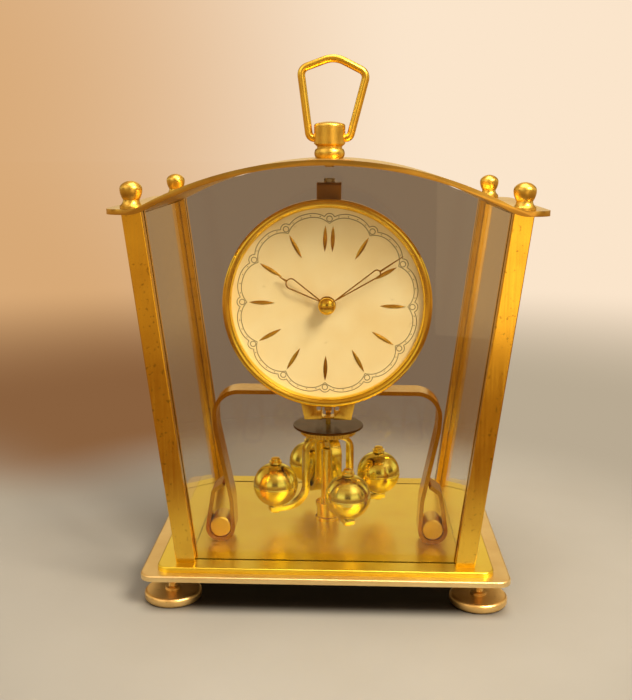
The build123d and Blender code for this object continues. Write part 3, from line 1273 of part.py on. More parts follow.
def suspension_guard():
    """A trapezoid plate with a slot, whose slotted tab keeps the pendulum's rod in place."""
    front = BACK_OF_BACK_PLATE
    back = front + GUARD_SHEET
    corners = [
        (-GUARD_TOP_HALF_WIDTH, GUARD_TOP),
        (GUARD_TOP_HALF_WIDTH, GUARD_TOP),
        (GUARD_BOTTOM_HALF_WIDTH, GUARD_BOTTOM),
        (-GUARD_BOTTOM_HALF_WIDTH, GUARD_BOTTOM),
    ]
    face = make_face(Polyline(*corners, close=True))
    slot_height = GUARD_SLOT_TOP - GUARD_BOTTOM
    face -= Pos(0, GUARD_BOTTOM + slot_height / 2) * Rectangle(GUARD_SLOT, slot_height + 0.001)
    face -= Pos(0, GUARD_SLOT_TOP) * Circle(GUARD_SLOT / 2)
    for x in (-GUARD_HOLE_X, GUARD_HOLE_X):
        face -= Pos(x, GUARD_HOLE_Z) * Circle(GUARD_HOLE_RADIUS)
    sheet = on_front(face, front, back)
    for at in guard_screw_places():
        sheet -= round_bar(at, PLATE_SCREW_RADIUS + SNUG, front - 1, back + 1)
    depth = GUARD_TAB_END - back
    tab = Pos(0, back + depth / 2) * Rectangle(2 * GUARD_TAB_HALF_WIDTH, depth + 0.001)
    tab -= Circle(GUARD_SLOT / 2) + Pos(0, GUARD_TAB_END) * Rectangle(GUARD_SLOT, 2 * GUARD_TAB_END)
    return sheet + extrude(Plane.XY.offset(GUARD_BOTTOM) * tab, amount=GUARD_SHEET)


HUB_TOP = DISC_TOP - DISC_THICKNESS - KNURL_HEIGHT - RUNNING
ARM_LEVEL = HUB_TOP - HUB_HEIGHT - ARM_THICKNESS / 2
BALL_Z = BALL_BOTTOM + BALL_RADIUS


def pendulum_hub():
    """The rod that hangs from the spring, two collars that clamp the arms, and the pin in the guide post."""
    rod = upright_bar(0, 0, PENDULUM_ROD_RADIUS, PENDULUM_PIN_BOTTOM, BOTTOM_BLOCK_Z)
    rod += upright_bar(0, 0, HUB_RADIUS, HUB_TOP - HUB_HEIGHT, HUB_TOP)
    nut_top = ARM_LEVEL - ARM_THICKNESS / 2
    return rod + upright_bar(0, 0, HUB_NUT_RADIUS, nut_top - HUB_HEIGHT, nut_top)


def regulating_disc():
    """A thin disc over a knurled rim, turned to set the clock fast or slow."""
    rim_top = DISC_TOP - DISC_THICKNESS
    rim_bottom = rim_top - KNURL_HEIGHT
    points = []
    for k in range(2 * KNURL_COUNT):
        angle = pi * k / KNURL_COUNT
        radius = KNURL_RADIUS - (KNURL_DEPTH if k % 2 else 0)
        points.append((radius * cos(angle), radius * sin(angle)))
    knurl = Plane.XY.offset(rim_bottom) * make_face(Polyline(*points, close=True))
    rim = extrude(knurl, amount=KNURL_HEIGHT)
    disc = upright_bar(0, 0, DISC_RADIUS, rim_top, DISC_TOP)
    disc = fillet(disc.edges().filter_by(GeomType.CIRCLE), 0.3)
    return disc + rim - upright_bar(0, 0, PENDULUM_ROD_RADIUS + RUNNING, rim_bottom - 1, DISC_TOP + 1)


def around_pendulum(piece):
    """Four copies, turned to the places of the balls."""
    return [Rot(0, 0, BALL_ANGLE + 360 / PENDULUM_BALLS * k) * piece for k in range(PENDULUM_BALLS)]


def pendulum_arm():
    """A flat strip, bent down beside the rod and out under its ball."""
    under = BALL_BOTTOM - ARM_THICKNESS / 2
    drop = ARM_DROP_RADIUS
    points = [(ARM_START, ARM_LEVEL), (drop, ARM_LEVEL), (drop, under), (ARM_END, under)]
    strip = bent_strip(points, [ARM_UPPER_BEND, ARM_LOWER_BEND], ARM_THICKNESS, ARM_WIDTH)
    return strip - upright_bar(BALL_CIRCLE, 0, BALL_SCREW_RADIUS + SNUG, under - 2, under + 2)


def pendulum_ball():
    """A ball with the fine groove of its seam at the middle, bored for its screw."""
    ball = Pos(BALL_CIRCLE, 0, BALL_Z) * Sphere(BALL_RADIUS)
    groove = upright_bar(BALL_CIRCLE, 0, BALL_RADIUS + 1, BALL_Z - BALL_SEAM, BALL_Z + BALL_SEAM)
    groove -= upright_bar(BALL_CIRCLE, 0, BALL_RADIUS - BALL_SEAM, BALL_Z - 1, BALL_Z + 1)
    ball -= groove
    top = BALL_BOTTOM + 2 * BALL_RADIUS
    return ball - upright_bar(BALL_CIRCLE, 0, BALL_SCREW_RADIUS + SNUG, BALL_BOTTOM - 1, top + 1)


def ball_screw():
    """From under the arm up through the ball."""
    arm_bottom = BALL_BOTTOM - ARM_THICKNESS
    top = BALL_BOTTOM + 2 * BALL_RADIUS + BALL_NUT_HEIGHT - 0.8
    head = upright_bar(BALL_CIRCLE, 0, BALL_SCREW_HEAD, arm_bottom - 0.9, arm_bottom)
    return head + upright_bar(BALL_CIRCLE, 0, BALL_SCREW_RADIUS, arm_bottom, top)


def ball_nut():
    """A small stepped and domed nut on top of the ball."""
    seat = BALL_BOTTOM + BALL_RADIUS + sqrt(BALL_RADIUS**2 - (BALL_SCREW_RADIUS + SNUG) ** 2)
    step = seat + 1.1
    top = seat + BALL_NUT_HEIGHT
    bore = BALL_SCREW_RADIUS + SNUG
    shoulder = (BALL_NUT_RADIUS * 0.72, top - 0.9)
    profile = [
        Polyline((0, seat + SNUG), (BALL_NUT_RADIUS, seat + SNUG), (BALL_NUT_RADIUS, step)),
        Polyline((BALL_NUT_RADIUS, step), (shoulder[0], step), shoulder),
        *dome(*shoulder, 0.6, top),
        Line((0, top), (0, seat + SNUG)),
    ]
    nut = turned(profile) - upright_bar(0, 0, bore, seat - 1, top - 0.6)
    return Pos(BALL_CIRCLE, 0, 0) * nut


def build():
    pillars = four_corners(corner_pillar())
    panes = [flat_pane(), side_pane()]
    nodes = {
        "base_plate": [base_plate()],
        "plinth_plate": [plinth_plate()],
        "base_screws": base_screws(),
        "corner_pillars": pillars,
        "top_plate": [top_plate()],
        "finials": four_corners(finial()),
        "glass_front": [panes[0]],
        "glass_rear": [mirror(panes[0], about=Plane.XZ)],
        "glass_right": [panes[1]],
        "glass_left": [mirror(panes[1], about=Plane.YZ)],
        "handle_post": [handle_post()],
        "handle_nut": [handle_nut()],
        "handle_bail": [handle_bail()],
        "guide_post": [guide_post()],
        "strap_frame": [strap_frame()],
        "strap_posts": strap_posts(),
        "front_plate": [front_plate()],
        "back_plate": [back_plate()],
        "plate_pillars": plate_pillars(),
        "movement_screws": movement_screws(),
        "mainspring_barrel": [mainspring_barrel()],
        "mainspring": [mainspring()],
        "winding_arbor": [winding_arbor()],
        "ratchet_wheel": [ratchet_wheel()],
        "click": [click()],
        "first_wheel": [first_wheel()],
        "second_wheel": [second_wheel()],
        "centre_wheel": [centre_wheel()],
        "third_wheel": [third_wheel()],
        "escape_wheel": [escape_wheel()],
        "anchor": [anchor()],
        "fork": [fork()],
        "cannon_pinion": [cannon_pinion()],
        "minute_wheel": [minute_wheel()],
        "minute_stud": [minute_stud()],
        "hour_wheel": [hour_wheel()],
        "dial": [dial()],
        "dial_feet": dial_feet(),
        "bezel": [bezel()],
        "hour_markers": hour_markers(),
        "hour_hand": [hour_hand()],
        "minute_hand": [minute_hand()],
        "hand_nut": [hand_nut()],
        "suspension_bracket": [suspension_bracket()],
        "suspension_screw": [suspension_screw()],
        "top_block": [top_block()],
        "suspension_spring": [suspension_spring()],
        "bottom_block": [bottom_block()],
        "suspension_guard": [suspension_guard()],
        "pendulum_hub": [pendulum_hub()],
        "regulating_disc": [regulating_disc()],
        "pendulum_arms": around_pendulum(pendulum_arm()),
        "pendulum_balls": around_pendulum(pendulum_ball()),
        "ball_screws": around_pendulum(ball_screw()),
        "ball_nuts": around_pendulum(ball_nut()),
    }
    for corner, (x, y) in FEET.items():
        nodes["foot_" + corner] = [levelling_foot(x, y)]
    return nodes


os.makedirs("parts", exist_ok=True)
for name, pieces in build().items():
    solids = [solid for piece in pieces for solid in piece.solids()]
    export_step(Compound(solids) if len(solids) > 1 else solids[0], os.path.join("parts", name + ".step"))
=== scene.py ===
import json
from math import asin, atan2, cos, degrees, hypot, pi, radians, sin, sqrt

import bmesh
import bpy
from mathutils import Matrix, Vector

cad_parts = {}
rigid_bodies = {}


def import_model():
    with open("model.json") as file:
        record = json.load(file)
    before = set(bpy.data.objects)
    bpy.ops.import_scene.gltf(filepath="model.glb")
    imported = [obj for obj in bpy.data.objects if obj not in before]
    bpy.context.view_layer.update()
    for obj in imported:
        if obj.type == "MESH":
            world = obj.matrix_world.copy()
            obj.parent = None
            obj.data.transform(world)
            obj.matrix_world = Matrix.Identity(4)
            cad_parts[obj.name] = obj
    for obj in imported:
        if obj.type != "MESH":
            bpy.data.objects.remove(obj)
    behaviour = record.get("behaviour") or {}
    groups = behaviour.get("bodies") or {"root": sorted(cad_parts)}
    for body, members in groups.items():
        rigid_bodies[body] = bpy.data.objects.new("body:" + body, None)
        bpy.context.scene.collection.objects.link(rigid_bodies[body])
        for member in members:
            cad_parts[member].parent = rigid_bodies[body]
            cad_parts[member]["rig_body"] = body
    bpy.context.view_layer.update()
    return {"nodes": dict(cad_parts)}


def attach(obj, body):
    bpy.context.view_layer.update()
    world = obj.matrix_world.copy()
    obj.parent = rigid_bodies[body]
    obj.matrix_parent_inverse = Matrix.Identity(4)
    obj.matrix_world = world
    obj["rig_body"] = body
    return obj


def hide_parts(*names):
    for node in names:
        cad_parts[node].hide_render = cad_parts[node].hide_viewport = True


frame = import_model()

# Sizes are in millimetres, as on a drawing, but for the lamps and the camera, which are in metres as
# meshes are in Blender.


# Table: a matt painted top, pale stone grey near the clock, with a band of painted shadow further off that
# runs into the wall. A painted shadow darkens it in the gap under the clock, and behind the panes it takes
# a painted shade in place of the clock's own shade.
def linear(colour):
    """An sRGB hex colour as linear numbers with an alpha of one."""
    parts = [int(colour[k : k + 2], 16) / 255 for k in (1, 3, 5)]
    return [c / 12.92 if c <= 0.04045 else ((c + 0.055) / 1.055) ** 2.4 for c in parts] + [1]


def add(tree, kind, inputs=(), **settings):
    """Adds a node. inputs maps a socket's name or number to a value, a hex colour or an output."""
    made = tree.nodes.new(kind)
    for name, value in settings.items():
        setattr(made, name, value)
    for key, value in dict(inputs).items():
        if isinstance(value, bpy.types.NodeSocket):
            tree.links.new(value, made.inputs[key])
        else:
            made.inputs[key].default_value = linear(value) if isinstance(value, str) else value
    return made


def new_material(name):
    """An empty material with its tree and its output node."""
    material = bpy.data.materials.new(name)
    material.use_nodes = True
    material.node_tree.nodes.clear()
    return material, material.node_tree, material.node_tree.nodes.new("ShaderNodeOutputMaterial")


def new_object(name, vertices, faces, material=None):
    """A mesh object from points in millimetres."""
    mesh = bpy.data.meshes.new(name)
    mesh.from_pydata([[v / 1000 for v in point] for point in vertices], [], faces)
    if material:
        mesh.materials.append(material)
    made = bpy.data.objects.new(name, mesh)
    bpy.context.scene.collection.objects.link(made)
    return made


def seen_directly(tree):
    """One for a ray that shows a thing: straight to the eye, in metal or through glass."""
    ray = add(tree, "ShaderNodeLightPath").outputs
    kinds = {0: ray["Is Camera Ray"], 1: ray["Is Glossy Ray"]}
    either = add(tree, "ShaderNodeMath", kinds, operation="MAXIMUM").outputs[0]
    kinds = {0: either, 1: ray["Is Transmission Ray"]}
    return add(tree, "ShaderNodeMath", kinds, operation="MAXIMUM").outputs[0]


def room_colour(tree, way, warm, pale, in_brass):
    """What a ray sees one way: warm towards the room's warm corner and pale elsewhere, another colour where
    brass or glass throws it back, and a painted shade where it has come through a pane."""
    ahead = add(tree, "ShaderNodeVectorMath", {0: way}, operation="NORMALIZE").outputs[0]
    ends = {0: ahead, 1: WARM_CORNER}
    near = add(tree, "ShaderNodeVectorMath", ends, operation="DOT_PRODUCT").outputs["Value"]
    limits = {"Value": near, "From Min": WARM_FROM, "From Max": WARM_FULLY}
    share = add(tree, "ShaderNodeMapRange", limits, interpolation_type="SMOOTHSTEP").outputs[0]
    colours = {"Factor": share, "A": pale, "B": warm}
    plain = add(tree, "ShaderNodeMix", colours, data_type="RGBA").outputs["Result"]
    ray = add(tree, "ShaderNodeLightPath").outputs
    depth = {0: ray["Glossy Depth"], 1: 0.5}
    thrown_back = add(tree, "ShaderNodeMath", depth, operation="GREATER_THAN").outputs[0]
    colours = {"Factor": thrown_back, "A": plain, "B": in_brass}
    shown = add(tree, "ShaderNodeMix", colours, data_type="RGBA").outputs["Result"]
    straight = add(tree, "ShaderNodeMath", {0: 1, 1: thrown_back}, operation="SUBTRACT").outputs[0]
    factors = {0: ray["Is Transmission Ray"], 1: straight}
    through_pane = add(tree, "ShaderNodeMath", factors, operation="MULTIPLY").outputs[0]
    colours = {"Factor": through_pane, "A": shown, "B": PAINTED_SHADE_BEHIND_PANES}
    return add(tree, "ShaderNodeMix", colours, data_type="RGBA").outputs["Result"]


WARM_CORNER = (-0.574, 0.819, 0)
WARM_FROM = 0.77
WARM_FULLY = 0.99
WALL_WARM = "#d8a976"
WALL_PALE = "#fbe5cb"
PAINTED_SHADOW_WARM = "#8a613e"
PAINTED_SHADOW_PALE = "#b9aa92"
PAINTED_SHADE_BEHIND_PANES = "#857362"
MIRRORED_PAINTED_SHADOW = "#8f6536"
MIRRORED_SKYLINE = "#c49a60"
TABLE_COLOUR = "#aaa8a2"
TABLE_STAIN = "#9f9b93"
TABLE_ROUGHNESS = 0.55
STAIN_SIZE = 60
PAINTED_SHADOW_UNDER_CLOCK = "#1a120a"
PAINTED_SHADOW_EDGES = {"X": (68, 81), "Y": (56, 68)}
PAINTED_SHADOW_BEGINS = (120, 240)
PAINTED_SHADOW_ENDS = (360, 950)
TABLE_REACH = 12000
TABLE_SIDES = 96
table_paint, tree, out = new_material("matt_table_paint")
place = add(tree, "ShaderNodeTexCoord").outputs["Object"]
pattern = {"Vector": place, "Scale": 1000 / STAIN_SIZE, "Detail": 4}
stains = add(tree, "ShaderNodeTexNoise", pattern).outputs[0]
colours = {"Factor": stains, "A": TABLE_COLOUR, "B": TABLE_STAIN}
colour = add(tree, "ShaderNodeMix", colours, data_type="RGBA").outputs["Result"]
# A painted shadow: the table's colour goes near black under the clock's base and fades out past its edges.
aside = add(tree, "ShaderNodeVectorMath", {0: place}, operation="ABSOLUTE").outputs[0]
aside = add(tree, "ShaderNodeSeparateXYZ", {0: aside}).outputs
within = []
for axis, (inner, outer) in PAINTED_SHADOW_EDGES.items():
    limits = {"Value": aside[axis], "From Min": inner / 1000, "From Max": outer / 1000}
    limits |= {"To Min": 1, "To Max": 0}
    within.append(add(tree, "ShaderNodeMapRange", limits, interpolation_type="SMOOTHSTEP").outputs[0])
under = add(tree, "ShaderNodeMath", {0: within[0], 1: within[1]}, operation="MULTIPLY").outputs[0]
colours = {"Factor": under, "A": colour, "B": PAINTED_SHADOW_UNDER_CLOCK}
colour = add(tree, "ShaderNodeMix", colours, data_type="RGBA").outputs["Result"]
surface = {"Base Color": colour, "Roughness": TABLE_ROUGHNESS}
paint = add(tree, "ShaderNodeBsdfPrincipled", surface).outputs[0]
# Past the clock the table turns into a band of painted shadow, warm brown towards the room's warm corner,
# which fades into the wall further off.
away = add(tree, "ShaderNodeVectorMath", {0: place}, operation="LENGTH").outputs["Value"]
shares = []
for near, far in (PAINTED_SHADOW_BEGINS, PAINTED_SHADOW_ENDS):
    limits = {"Value": away, "From Min": near / 1000, "From Max": far / 1000}
    shares.append(add(tree, "ShaderNodeMapRange", limits, interpolation_type="SMOOTHSTEP").outputs[0])
near_painted_shadow = room_colour(tree, place, PAINTED_SHADOW_WARM, PAINTED_SHADOW_PALE, MIRRORED_PAINTED_SHADOW)
far_wall = room_colour(tree, place, WALL_WARM, WALL_PALE, MIRRORED_SKYLINE)
colours = {"Factor": shares[1], "A": near_painted_shadow, "B": far_wall}
shadow_band_and_wall = add(tree, "ShaderNodeMix", colours, data_type="RGBA").outputs["Result"]
haze = add(tree, "ShaderNodeEmission", {"Color": shadow_band_and_wall, "Strength": 1}).outputs[0]
factors = {0: shares[0], 1: seen_directly(tree)}
share = add(tree, "ShaderNodeMath", factors, operation="MULTIPLY").outputs[0]
both = add(tree, "ShaderNodeMixShader", {0: share, 1: paint, 2: haze})
tree.links.new(both.outputs[0], out.inputs["Surface"])
turns = [2 * pi * k / TABLE_SIDES for k in range(TABLE_SIDES)]
rim = [(TABLE_REACH * cos(a), TABLE_REACH * sin(a), 0) for a in turns]
new_object("table", rim, [list(range(TABLE_SIDES))], table_paint)

# Room: a peach wall, warm at the left and pale at the right. Brass shows it with dark furniture
# round it and a dim ceiling. Diffuse surfaces get a weaker and more neutral light from it.
MIRRORED_WALL = "#fff0c4"
FURNITURE = "#54381c"
CEILING = "#c0965a"
ROOM_LIGHT = "#f3e6d6"
ROOM_STRENGTH = 0.28
DARK_BANDS = 5
BAND_EDGES = {"From Min": -0.7, "From Max": 0.4}
SKYLINE_TOP = 0.14
CEILING_EDGES = {"From Min": 0.24, "From Max": 0.62}
world = bpy.data.worlds.new("room")
bpy.context.scene.world = world
world.use_nodes = True
tree = world.node_tree
tree.nodes.clear()
direction = add(tree, "ShaderNodeTexCoord").outputs["Generated"]
parts = add(tree, "ShaderNodeSeparateXYZ", {0: direction}).outputs
turn = add(tree, "ShaderNodeMath", {0: parts["Y"], 1: parts["X"]}, operation="ARCTAN2").outputs[0]
turns = add(tree, "ShaderNodeMath", {0: turn, 1: DARK_BANDS}, operation="MULTIPLY").outputs[0]
wave = add(tree, "ShaderNodeMath", {0: turns}, operation="SINE").outputs[0]
limits = {"Value": wave, **BAND_EDGES}
lightness = add(tree, "ShaderNodeMapRange", limits, interpolation_type="SMOOTHSTEP").outputs[0]
overhead = add(tree, "ShaderNodeMapRange", {"Value": parts["Z"], **CEILING_EDGES}).outputs[0]
above_table = add(tree, "ShaderNodeMapRange", {"Value": parts["Z"], "From Max": SKYLINE_TOP}).outputs[0]
in_brass = MIRRORED_WALL
for share, other in ((lightness, FURNITURE), (above_table, MIRRORED_SKYLINE)):
    colours = {"Factor": share, "A": other, "B": in_brass}
    in_brass = add(tree, "ShaderNodeMix", colours, data_type="RGBA").outputs["Result"]
colours = {"Factor": overhead, "A": in_brass, "B": CEILING}
in_brass = add(tree, "ShaderNodeMix", colours, data_type="RGBA").outputs["Result"]
# Through a pane the wall shows a painted shade instead of its own colour.
walls = room_colour(tree, direction, WALL_WARM, WALL_PALE, in_brass)
shown = add(tree, "ShaderNodeBackground", {"Color": walls, "Strength": 1}).outputs[0]
lit = add(tree, "ShaderNodeBackground", {"Color": ROOM_LIGHT, "Strength": ROOM_STRENGTH}).outputs[0]
both = add(tree, "ShaderNodeMixShader", {0: seen_directly(tree), 1: lit, 2: shown})
add(tree, "ShaderNodeOutputWorld", {"Surface": both.outputs[0]})
bpy.context.scene.view_settings.view_transform = "Standard"

# Lamps: the main one at the right, in front and above, a wide weak one at the left, and one
# overhead. A lit card at the right, just behind the camera, shows in the brass that faces it. Each
# has its place, its width, its power in watts and its colour.
LAMPS = {
    "main_lamp": ((0.58, -0.54, 0.95), 0.48, 17.0, "#fff0d8"),
    "left_lamp": ((-0.75, -0.45, 0.92), 0.90, 3.0, "#fff0dc"),
    "overhead_lamp": ((0.05, 0.05, 1.05), 0.60, 5.5, "#fff4e6"),
    "right_card": ((0.19, -0.50, 0.13), 0.22, 0.17, "#ffdca0"),
}
LAMPS_POINT_AT = Vector((0, 0, 0.10))
for name, (at, size, power, colour) in LAMPS.items():
    lamp = bpy.data.lights.new(name, "AREA")
    lamp.size = size
    lamp.energy = power
    lamp.color = linear(colour)[:3]
    stand = bpy.data.objects.new(name, lamp)
    bpy.context.scene.collection.objects.link(stand)
    stand.location = at
    stand.visible_camera = False
    stand.visible_transmission = False
    stand.rotation_euler = (LAMPS_POINT_AT - Vector(at)).to_track_quat("-Z", "Y").to_euler()

# Camera: its place is worked out from the lines of the case, a little right of the middle, 0.43 m
# in front and 0.19 m up, looking 12 degrees down. Lengths in metres, angles in radians.
EYE = Vector((0.0093703, -0.4325905, 0.1913520))
HEADING = -0.035078
LOOKING_DOWN = 0.209391
LEANING = 0.0022
LENS_MM = 49.275
SENSOR_MM = 36
ahead = Vector((sin(HEADING) * cos(LOOKING_DOWN), cos(HEADING) * cos(LOOKING_DOWN), -sin(LOOKING_DOWN)))
side = Vector((cos(HEADING), -sin(HEADING), 0))
above = side.cross(ahead)
right = side * cos(LEANING) + above * sin(LEANING)
up = above * cos(LEANING) - side * sin(LEANING)
eye = bpy.data.cameras.new("eye")
eye.sensor_width = SENSOR_MM
eye.lens = LENS_MM
eye.clip_start = 0.01
eye.clip_end = 20
camera = bpy.data.objects.new("eye", eye)
bpy.context.scene.collection.objects.link(camera)
camera.matrix_world = Matrix.Translation(EYE) @ Matrix((right, up, -ahead)).transposed().to_4x4()
bpy.context.scene.camera = camera


# Base: two stacked plates of rolled brass with rounded upper edges. The lower is satin, brushed
# lengthwise; the upper is finished brighter and shows a blurred pendulum. Both are lacquered. Marks
# of brushing and turning are drawn 0.4 mm apart or more, coarser than real, so that they show.
PATCH_EDGES = {"From Min": 0.35, "From Max": 0.9, "To Max": 0.8}
MARK_EDGES = {"From Min": 0.35, "From Max": 0.65}
MARK_STRENGTH = 0.6
SPECK_COLOUR = "#3d2a10"
SPECK_SIZE = 1.6
SPECK_EDGES = {"From Min": 0.66, "From Max": 0.74}
LACQUER_ROUGHNESS = 0.1


def metal(name, bright, dull, roughness, lay, spread=0.03, cloud=16.0, relief=0.001, coat=0.12, specks=0.0):
    """A lacquered metal. lay is the size of its working marks along X, Y and Z, cloud that of its dull
    patches, and relief the depth of its marks, all in mm. specks is the share of small dark spots."""
    material, tree, out = new_material(name)
    place = add(tree, "ShaderNodeTexCoord").outputs["Object"]
    scaled = {"Vector": place, "Scale": [1000 / size for size in lay]}
    along = add(tree, "ShaderNodeMapping", scaled).outputs[0]
    marks = add(tree, "ShaderNodeTexNoise", {"Vector": along, "Scale": 1, "Detail": 2}).outputs[0]
    pattern = {"Vector": place, "Scale": 1000 / cloud, "Detail": 3}
    patches = add(tree, "ShaderNodeTexNoise", pattern).outputs[0]
    dulled = add(tree, "ShaderNodeMapRange", {"Value": patches, **PATCH_EDGES}).outputs[0]
    colours = {"Factor": dulled, "A": bright, "B": dull}
    colour = add(tree, "ShaderNodeMix", colours, data_type="RGBA").outputs["Result"]
    if specks:
        pattern = {"Vector": place, "Scale": 1000 / SPECK_SIZE, "Detail": 1}
        dots = add(tree, "ShaderNodeTexNoise", pattern).outputs[0]
        limits = {"Value": dots, **SPECK_EDGES, "To Max": specks}
        spotted = add(tree, "ShaderNodeMapRange", limits).outputs[0]
        colours = {"Factor": spotted, "A": colour, "B": SPECK_COLOUR}
        colour = add(tree, "ShaderNodeMix", colours, data_type="RGBA").outputs["Result"]
    limits = {"Value": marks, **MARK_EDGES, "To Min": roughness - spread, "To Max": roughness + spread}
    gloss = add(tree, "ShaderNodeMapRange", limits).outputs[0]
    height = {"Height": marks, "Strength": MARK_STRENGTH, "Distance": relief / 1000}
    ridges = add(tree, "ShaderNodeBump", height).outputs[0]
    surface = {
        "Base Color": colour,
        "Metallic": 1,
        "Roughness": gloss,
        "Normal": ridges,
        "Coat Weight": coat,
        "Coat Roughness": LACQUER_ROUGHNESS,
    }
    shader = add(tree, "ShaderNodeBsdfPrincipled", surface)
    tree.links.new(shader.outputs[0], out.inputs["Surface"])
    return material


def dress(material, *nodes):
    """Gives a material to CAD pieces whose shape is right as it is."""
    for node in nodes:
        frame["nodes"][node].data.materials.clear()
        frame["nodes"][node].data.materials.append(material)


def stands_for(piece, node):
    """The piece takes the CAD node's place on its body, and the node is hidden."""
    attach(piece, frame["nodes"][node]["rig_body"])
    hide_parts(node)
    return piece


satin_plate = metal("satin_brushed_brass_plate", "#f8dfa4", "#e4bd74", 0.38, (26, 0.7, 0.7), relief=0.002)
bright_plate = metal(
    "bright_brushed_brass_plate", "#ffe750", "#f8d040", 0.3, (14, 14, 14), spread=0.02, relief=0
)
dress(satin_plate, "base_plate")
dress(bright_plate, "plinth_plate")

# Base screws: seven slotted steel screws from below, their heads sunk in the lower plate. They
# hold the four pillars, the strap's two posts and the guide post. Turned bright from bar.
SCREW_HEAD = (3.2, 1.3)
SCREW_SHANK = (1.5, 8.2)
SCREW_SEAT = 14.25
SCREW_PLACES = [(x, y, SCREW_SEAT) for x in (-59.3, 59.3) for y in (-49.8, 49.8)]
SCREW_PLACES += [(-47.5, -23.5, SCREW_SEAT), (47.5, -23.5, SCREW_SEAT), (0, 0, SCREW_SEAT)]
SLOT_WIDTH_SHARE = 0.22
SLOT_DEPTH_SHARE = 0.5
SCREW_EASE_SHARE = 0.12
SAW_REACH = 1.2
SHARP_ABOVE = 34
BOX_FACES = [(0, 1, 3, 2), (4, 6, 7, 5), (0, 4, 5, 1), (2, 3, 7, 6), (0, 2, 6, 4), (1, 5, 7, 3)]
screw_steel = metal("turned_steel_screw", "#b9b8b4", "#8b8a88", 0.3, (0.8, 0.8, 0.8), coat=0)


def smooth(piece):
    """Smooth shading, with edges kept sharp where faces meet at more than the angle above."""
    piece.data.shade_smooth()
    piece.data.set_sharp_from_angle(angle=radians(SHARP_ABOVE))
    return piece


def outward(piece):
    """Makes all faces of a closed piece point outwards."""
    shape = bmesh.new()
    shape.from_mesh(piece.data)
    bmesh.ops.recalc_face_normals(shape, faces=shape.faces)
    shape.to_mesh(piece.data)
    shape.free()
    return piece


def turned(name, profile, material, sides=96, ring=False):
    """A turned piece about Z, from (radius, height) pairs in mm that run from axis to axis, or round
    a ring's section."""
    vertices, faces, rows = [], [], []
    for radius, height in profile:
        turns = [0] if radius < 1e-6 else [2 * pi * k / sides for k in range(sides)]
        rows.append(range(len(vertices), len(vertices) + len(turns)))
        vertices += [(radius * cos(a), radius * sin(a), height) for a in turns]
    pairs = list(zip(rows, rows[1:])) + ([(rows[-1], rows[0])] if ring else [])
    for low, high in pairs:
        for k in range(sides):
            corners = [low[k % len(low)], low[(k + 1) % len(low)]]
            corners += [high[(k + 1) % len(high)], high[k % len(high)]]
            faces.append(list(dict.fromkeys(corners)))
    piece = new_object(name, vertices, [face for face in faces if len(face) > 2], material)
    return smooth(outward(piece))


def baked(source, name, *spent):
    """A plain object from a piece with modifiers. The piece, and the others named, go away."""
    picture = bpy.context.evaluated_depsgraph_get()
    mesh = bpy.data.meshes.new_from_object(source.evaluated_get(picture))
    for gone in (source, *spent):
        bpy.data.objects.remove(gone)
    made = bpy.data.objects.new(name, mesh)
    bpy.context.scene.collection.objects.link(made)
    mesh.name = name
    return made


def slotted_screw(head, shank):
    """A cheese-head screw, seated at height zero with its head above, its slot sawn along X."""
    (head_radius, height), (radius, length) = head, shank
    ease = SCREW_EASE_SHARE * height
    profile = [(0, -length), (radius, -length), (radius, 0), (head_radius, 0)]
    profile += [(head_radius, height - ease), (head_radius - ease, height), (0, height)]
    screw = turned("screw", profile, screw_steel, sides=40)
    half, wide = SAW_REACH * head_radius, SLOT_WIDTH_SHARE * head_radius
    low = height * (1 - SLOT_DEPTH_SHARE)
    corners = [(x, y, z) for x in (-half, half) for y in (-wide, wide) for z in (low, 2 * height)]
    saw = new_object("saw", corners, BOX_FACES)
    cut = screw.modifiers.new("slot", "BOOLEAN")
    cut.object = saw
    cut.solver = "EXACT"
    return smooth(baked(screw, "slotted_screw", saw))


# One tree repeats a piece: one copy for each point, each turned a step further than the last.
repeat_piece = bpy.data.node_groups.new("repeat_piece", "GeometryNodeTree")
for name, kind in {
    "Places": "NodeSocketGeometry",
    "Piece": "NodeSocketObject",
    "First turn": "NodeSocketVector",
    "Turn step": "NodeSocketVector",
    "Finish": "NodeSocketMaterial",
}.items():
    repeat_piece.interface.new_socket(name, in_out="INPUT", socket_type=kind)
repeat_piece.interface.new_socket("Pieces", in_out="OUTPUT", socket_type="NodeSocketGeometry")
given = add(repeat_piece, "NodeGroupInput").outputs
number = add(repeat_piece, "GeometryNodeInputIndex").outputs[0]
turns = {0: number, 1: given["Turn step"], 2: given["First turn"]}
turn = add(repeat_piece, "ShaderNodeVectorMath", turns, operation="MULTIPLY_ADD").outputs[0]
shape = add(repeat_piece, "GeometryNodeObjectInfo", {"Object": given["Piece"]}).outputs["Geometry"]
copied = {"Points": given["Places"], "Instance": shape, "Rotation": turn}
copies = add(repeat_piece, "GeometryNodeInstanceOnPoints", copied).outputs[0]
whole = add(repeat_piece, "GeometryNodeRealizeInstances", {0: copies}).outputs[0]
finish = {"Geometry": whole, "Material": given["Finish"]}
finished = add(repeat_piece, "GeometryNodeSetMaterial", finish).outputs[0]
add(repeat_piece, "NodeGroupOutput", {0: finished})


def repeated(name, piece, places, finish, first=(0, 0, 0), step=(0, 0, 0)):
    """Copies of a piece at places in mm, turned by first plus a step for each, in degrees."""
    points = new_object(name + "_places", places, [])
    modifier = points.modifiers.new("repeat", "NODES")
    modifier.node_group = repeat_piece
    sockets = {item.name: item.identifier for item in repeat_piece.interface.items_tree}
    modifier[sockets["Piece"]] = piece
    modifier[sockets["First turn"]] = [radians(a) for a in first]
    modifier[sockets["Turn step"]] = [radians(a) for a in step]
    modifier[sockets["Finish"]] = finish
    return baked(points, name, piece)


screw = slotted_screw(SCREW_HEAD, SCREW_SHANK)
screws = repeated("slotted_base_screws", screw, SCREW_PLACES, screw_steel, (180, 0, 0))
stands_for(screws, "base_screws")

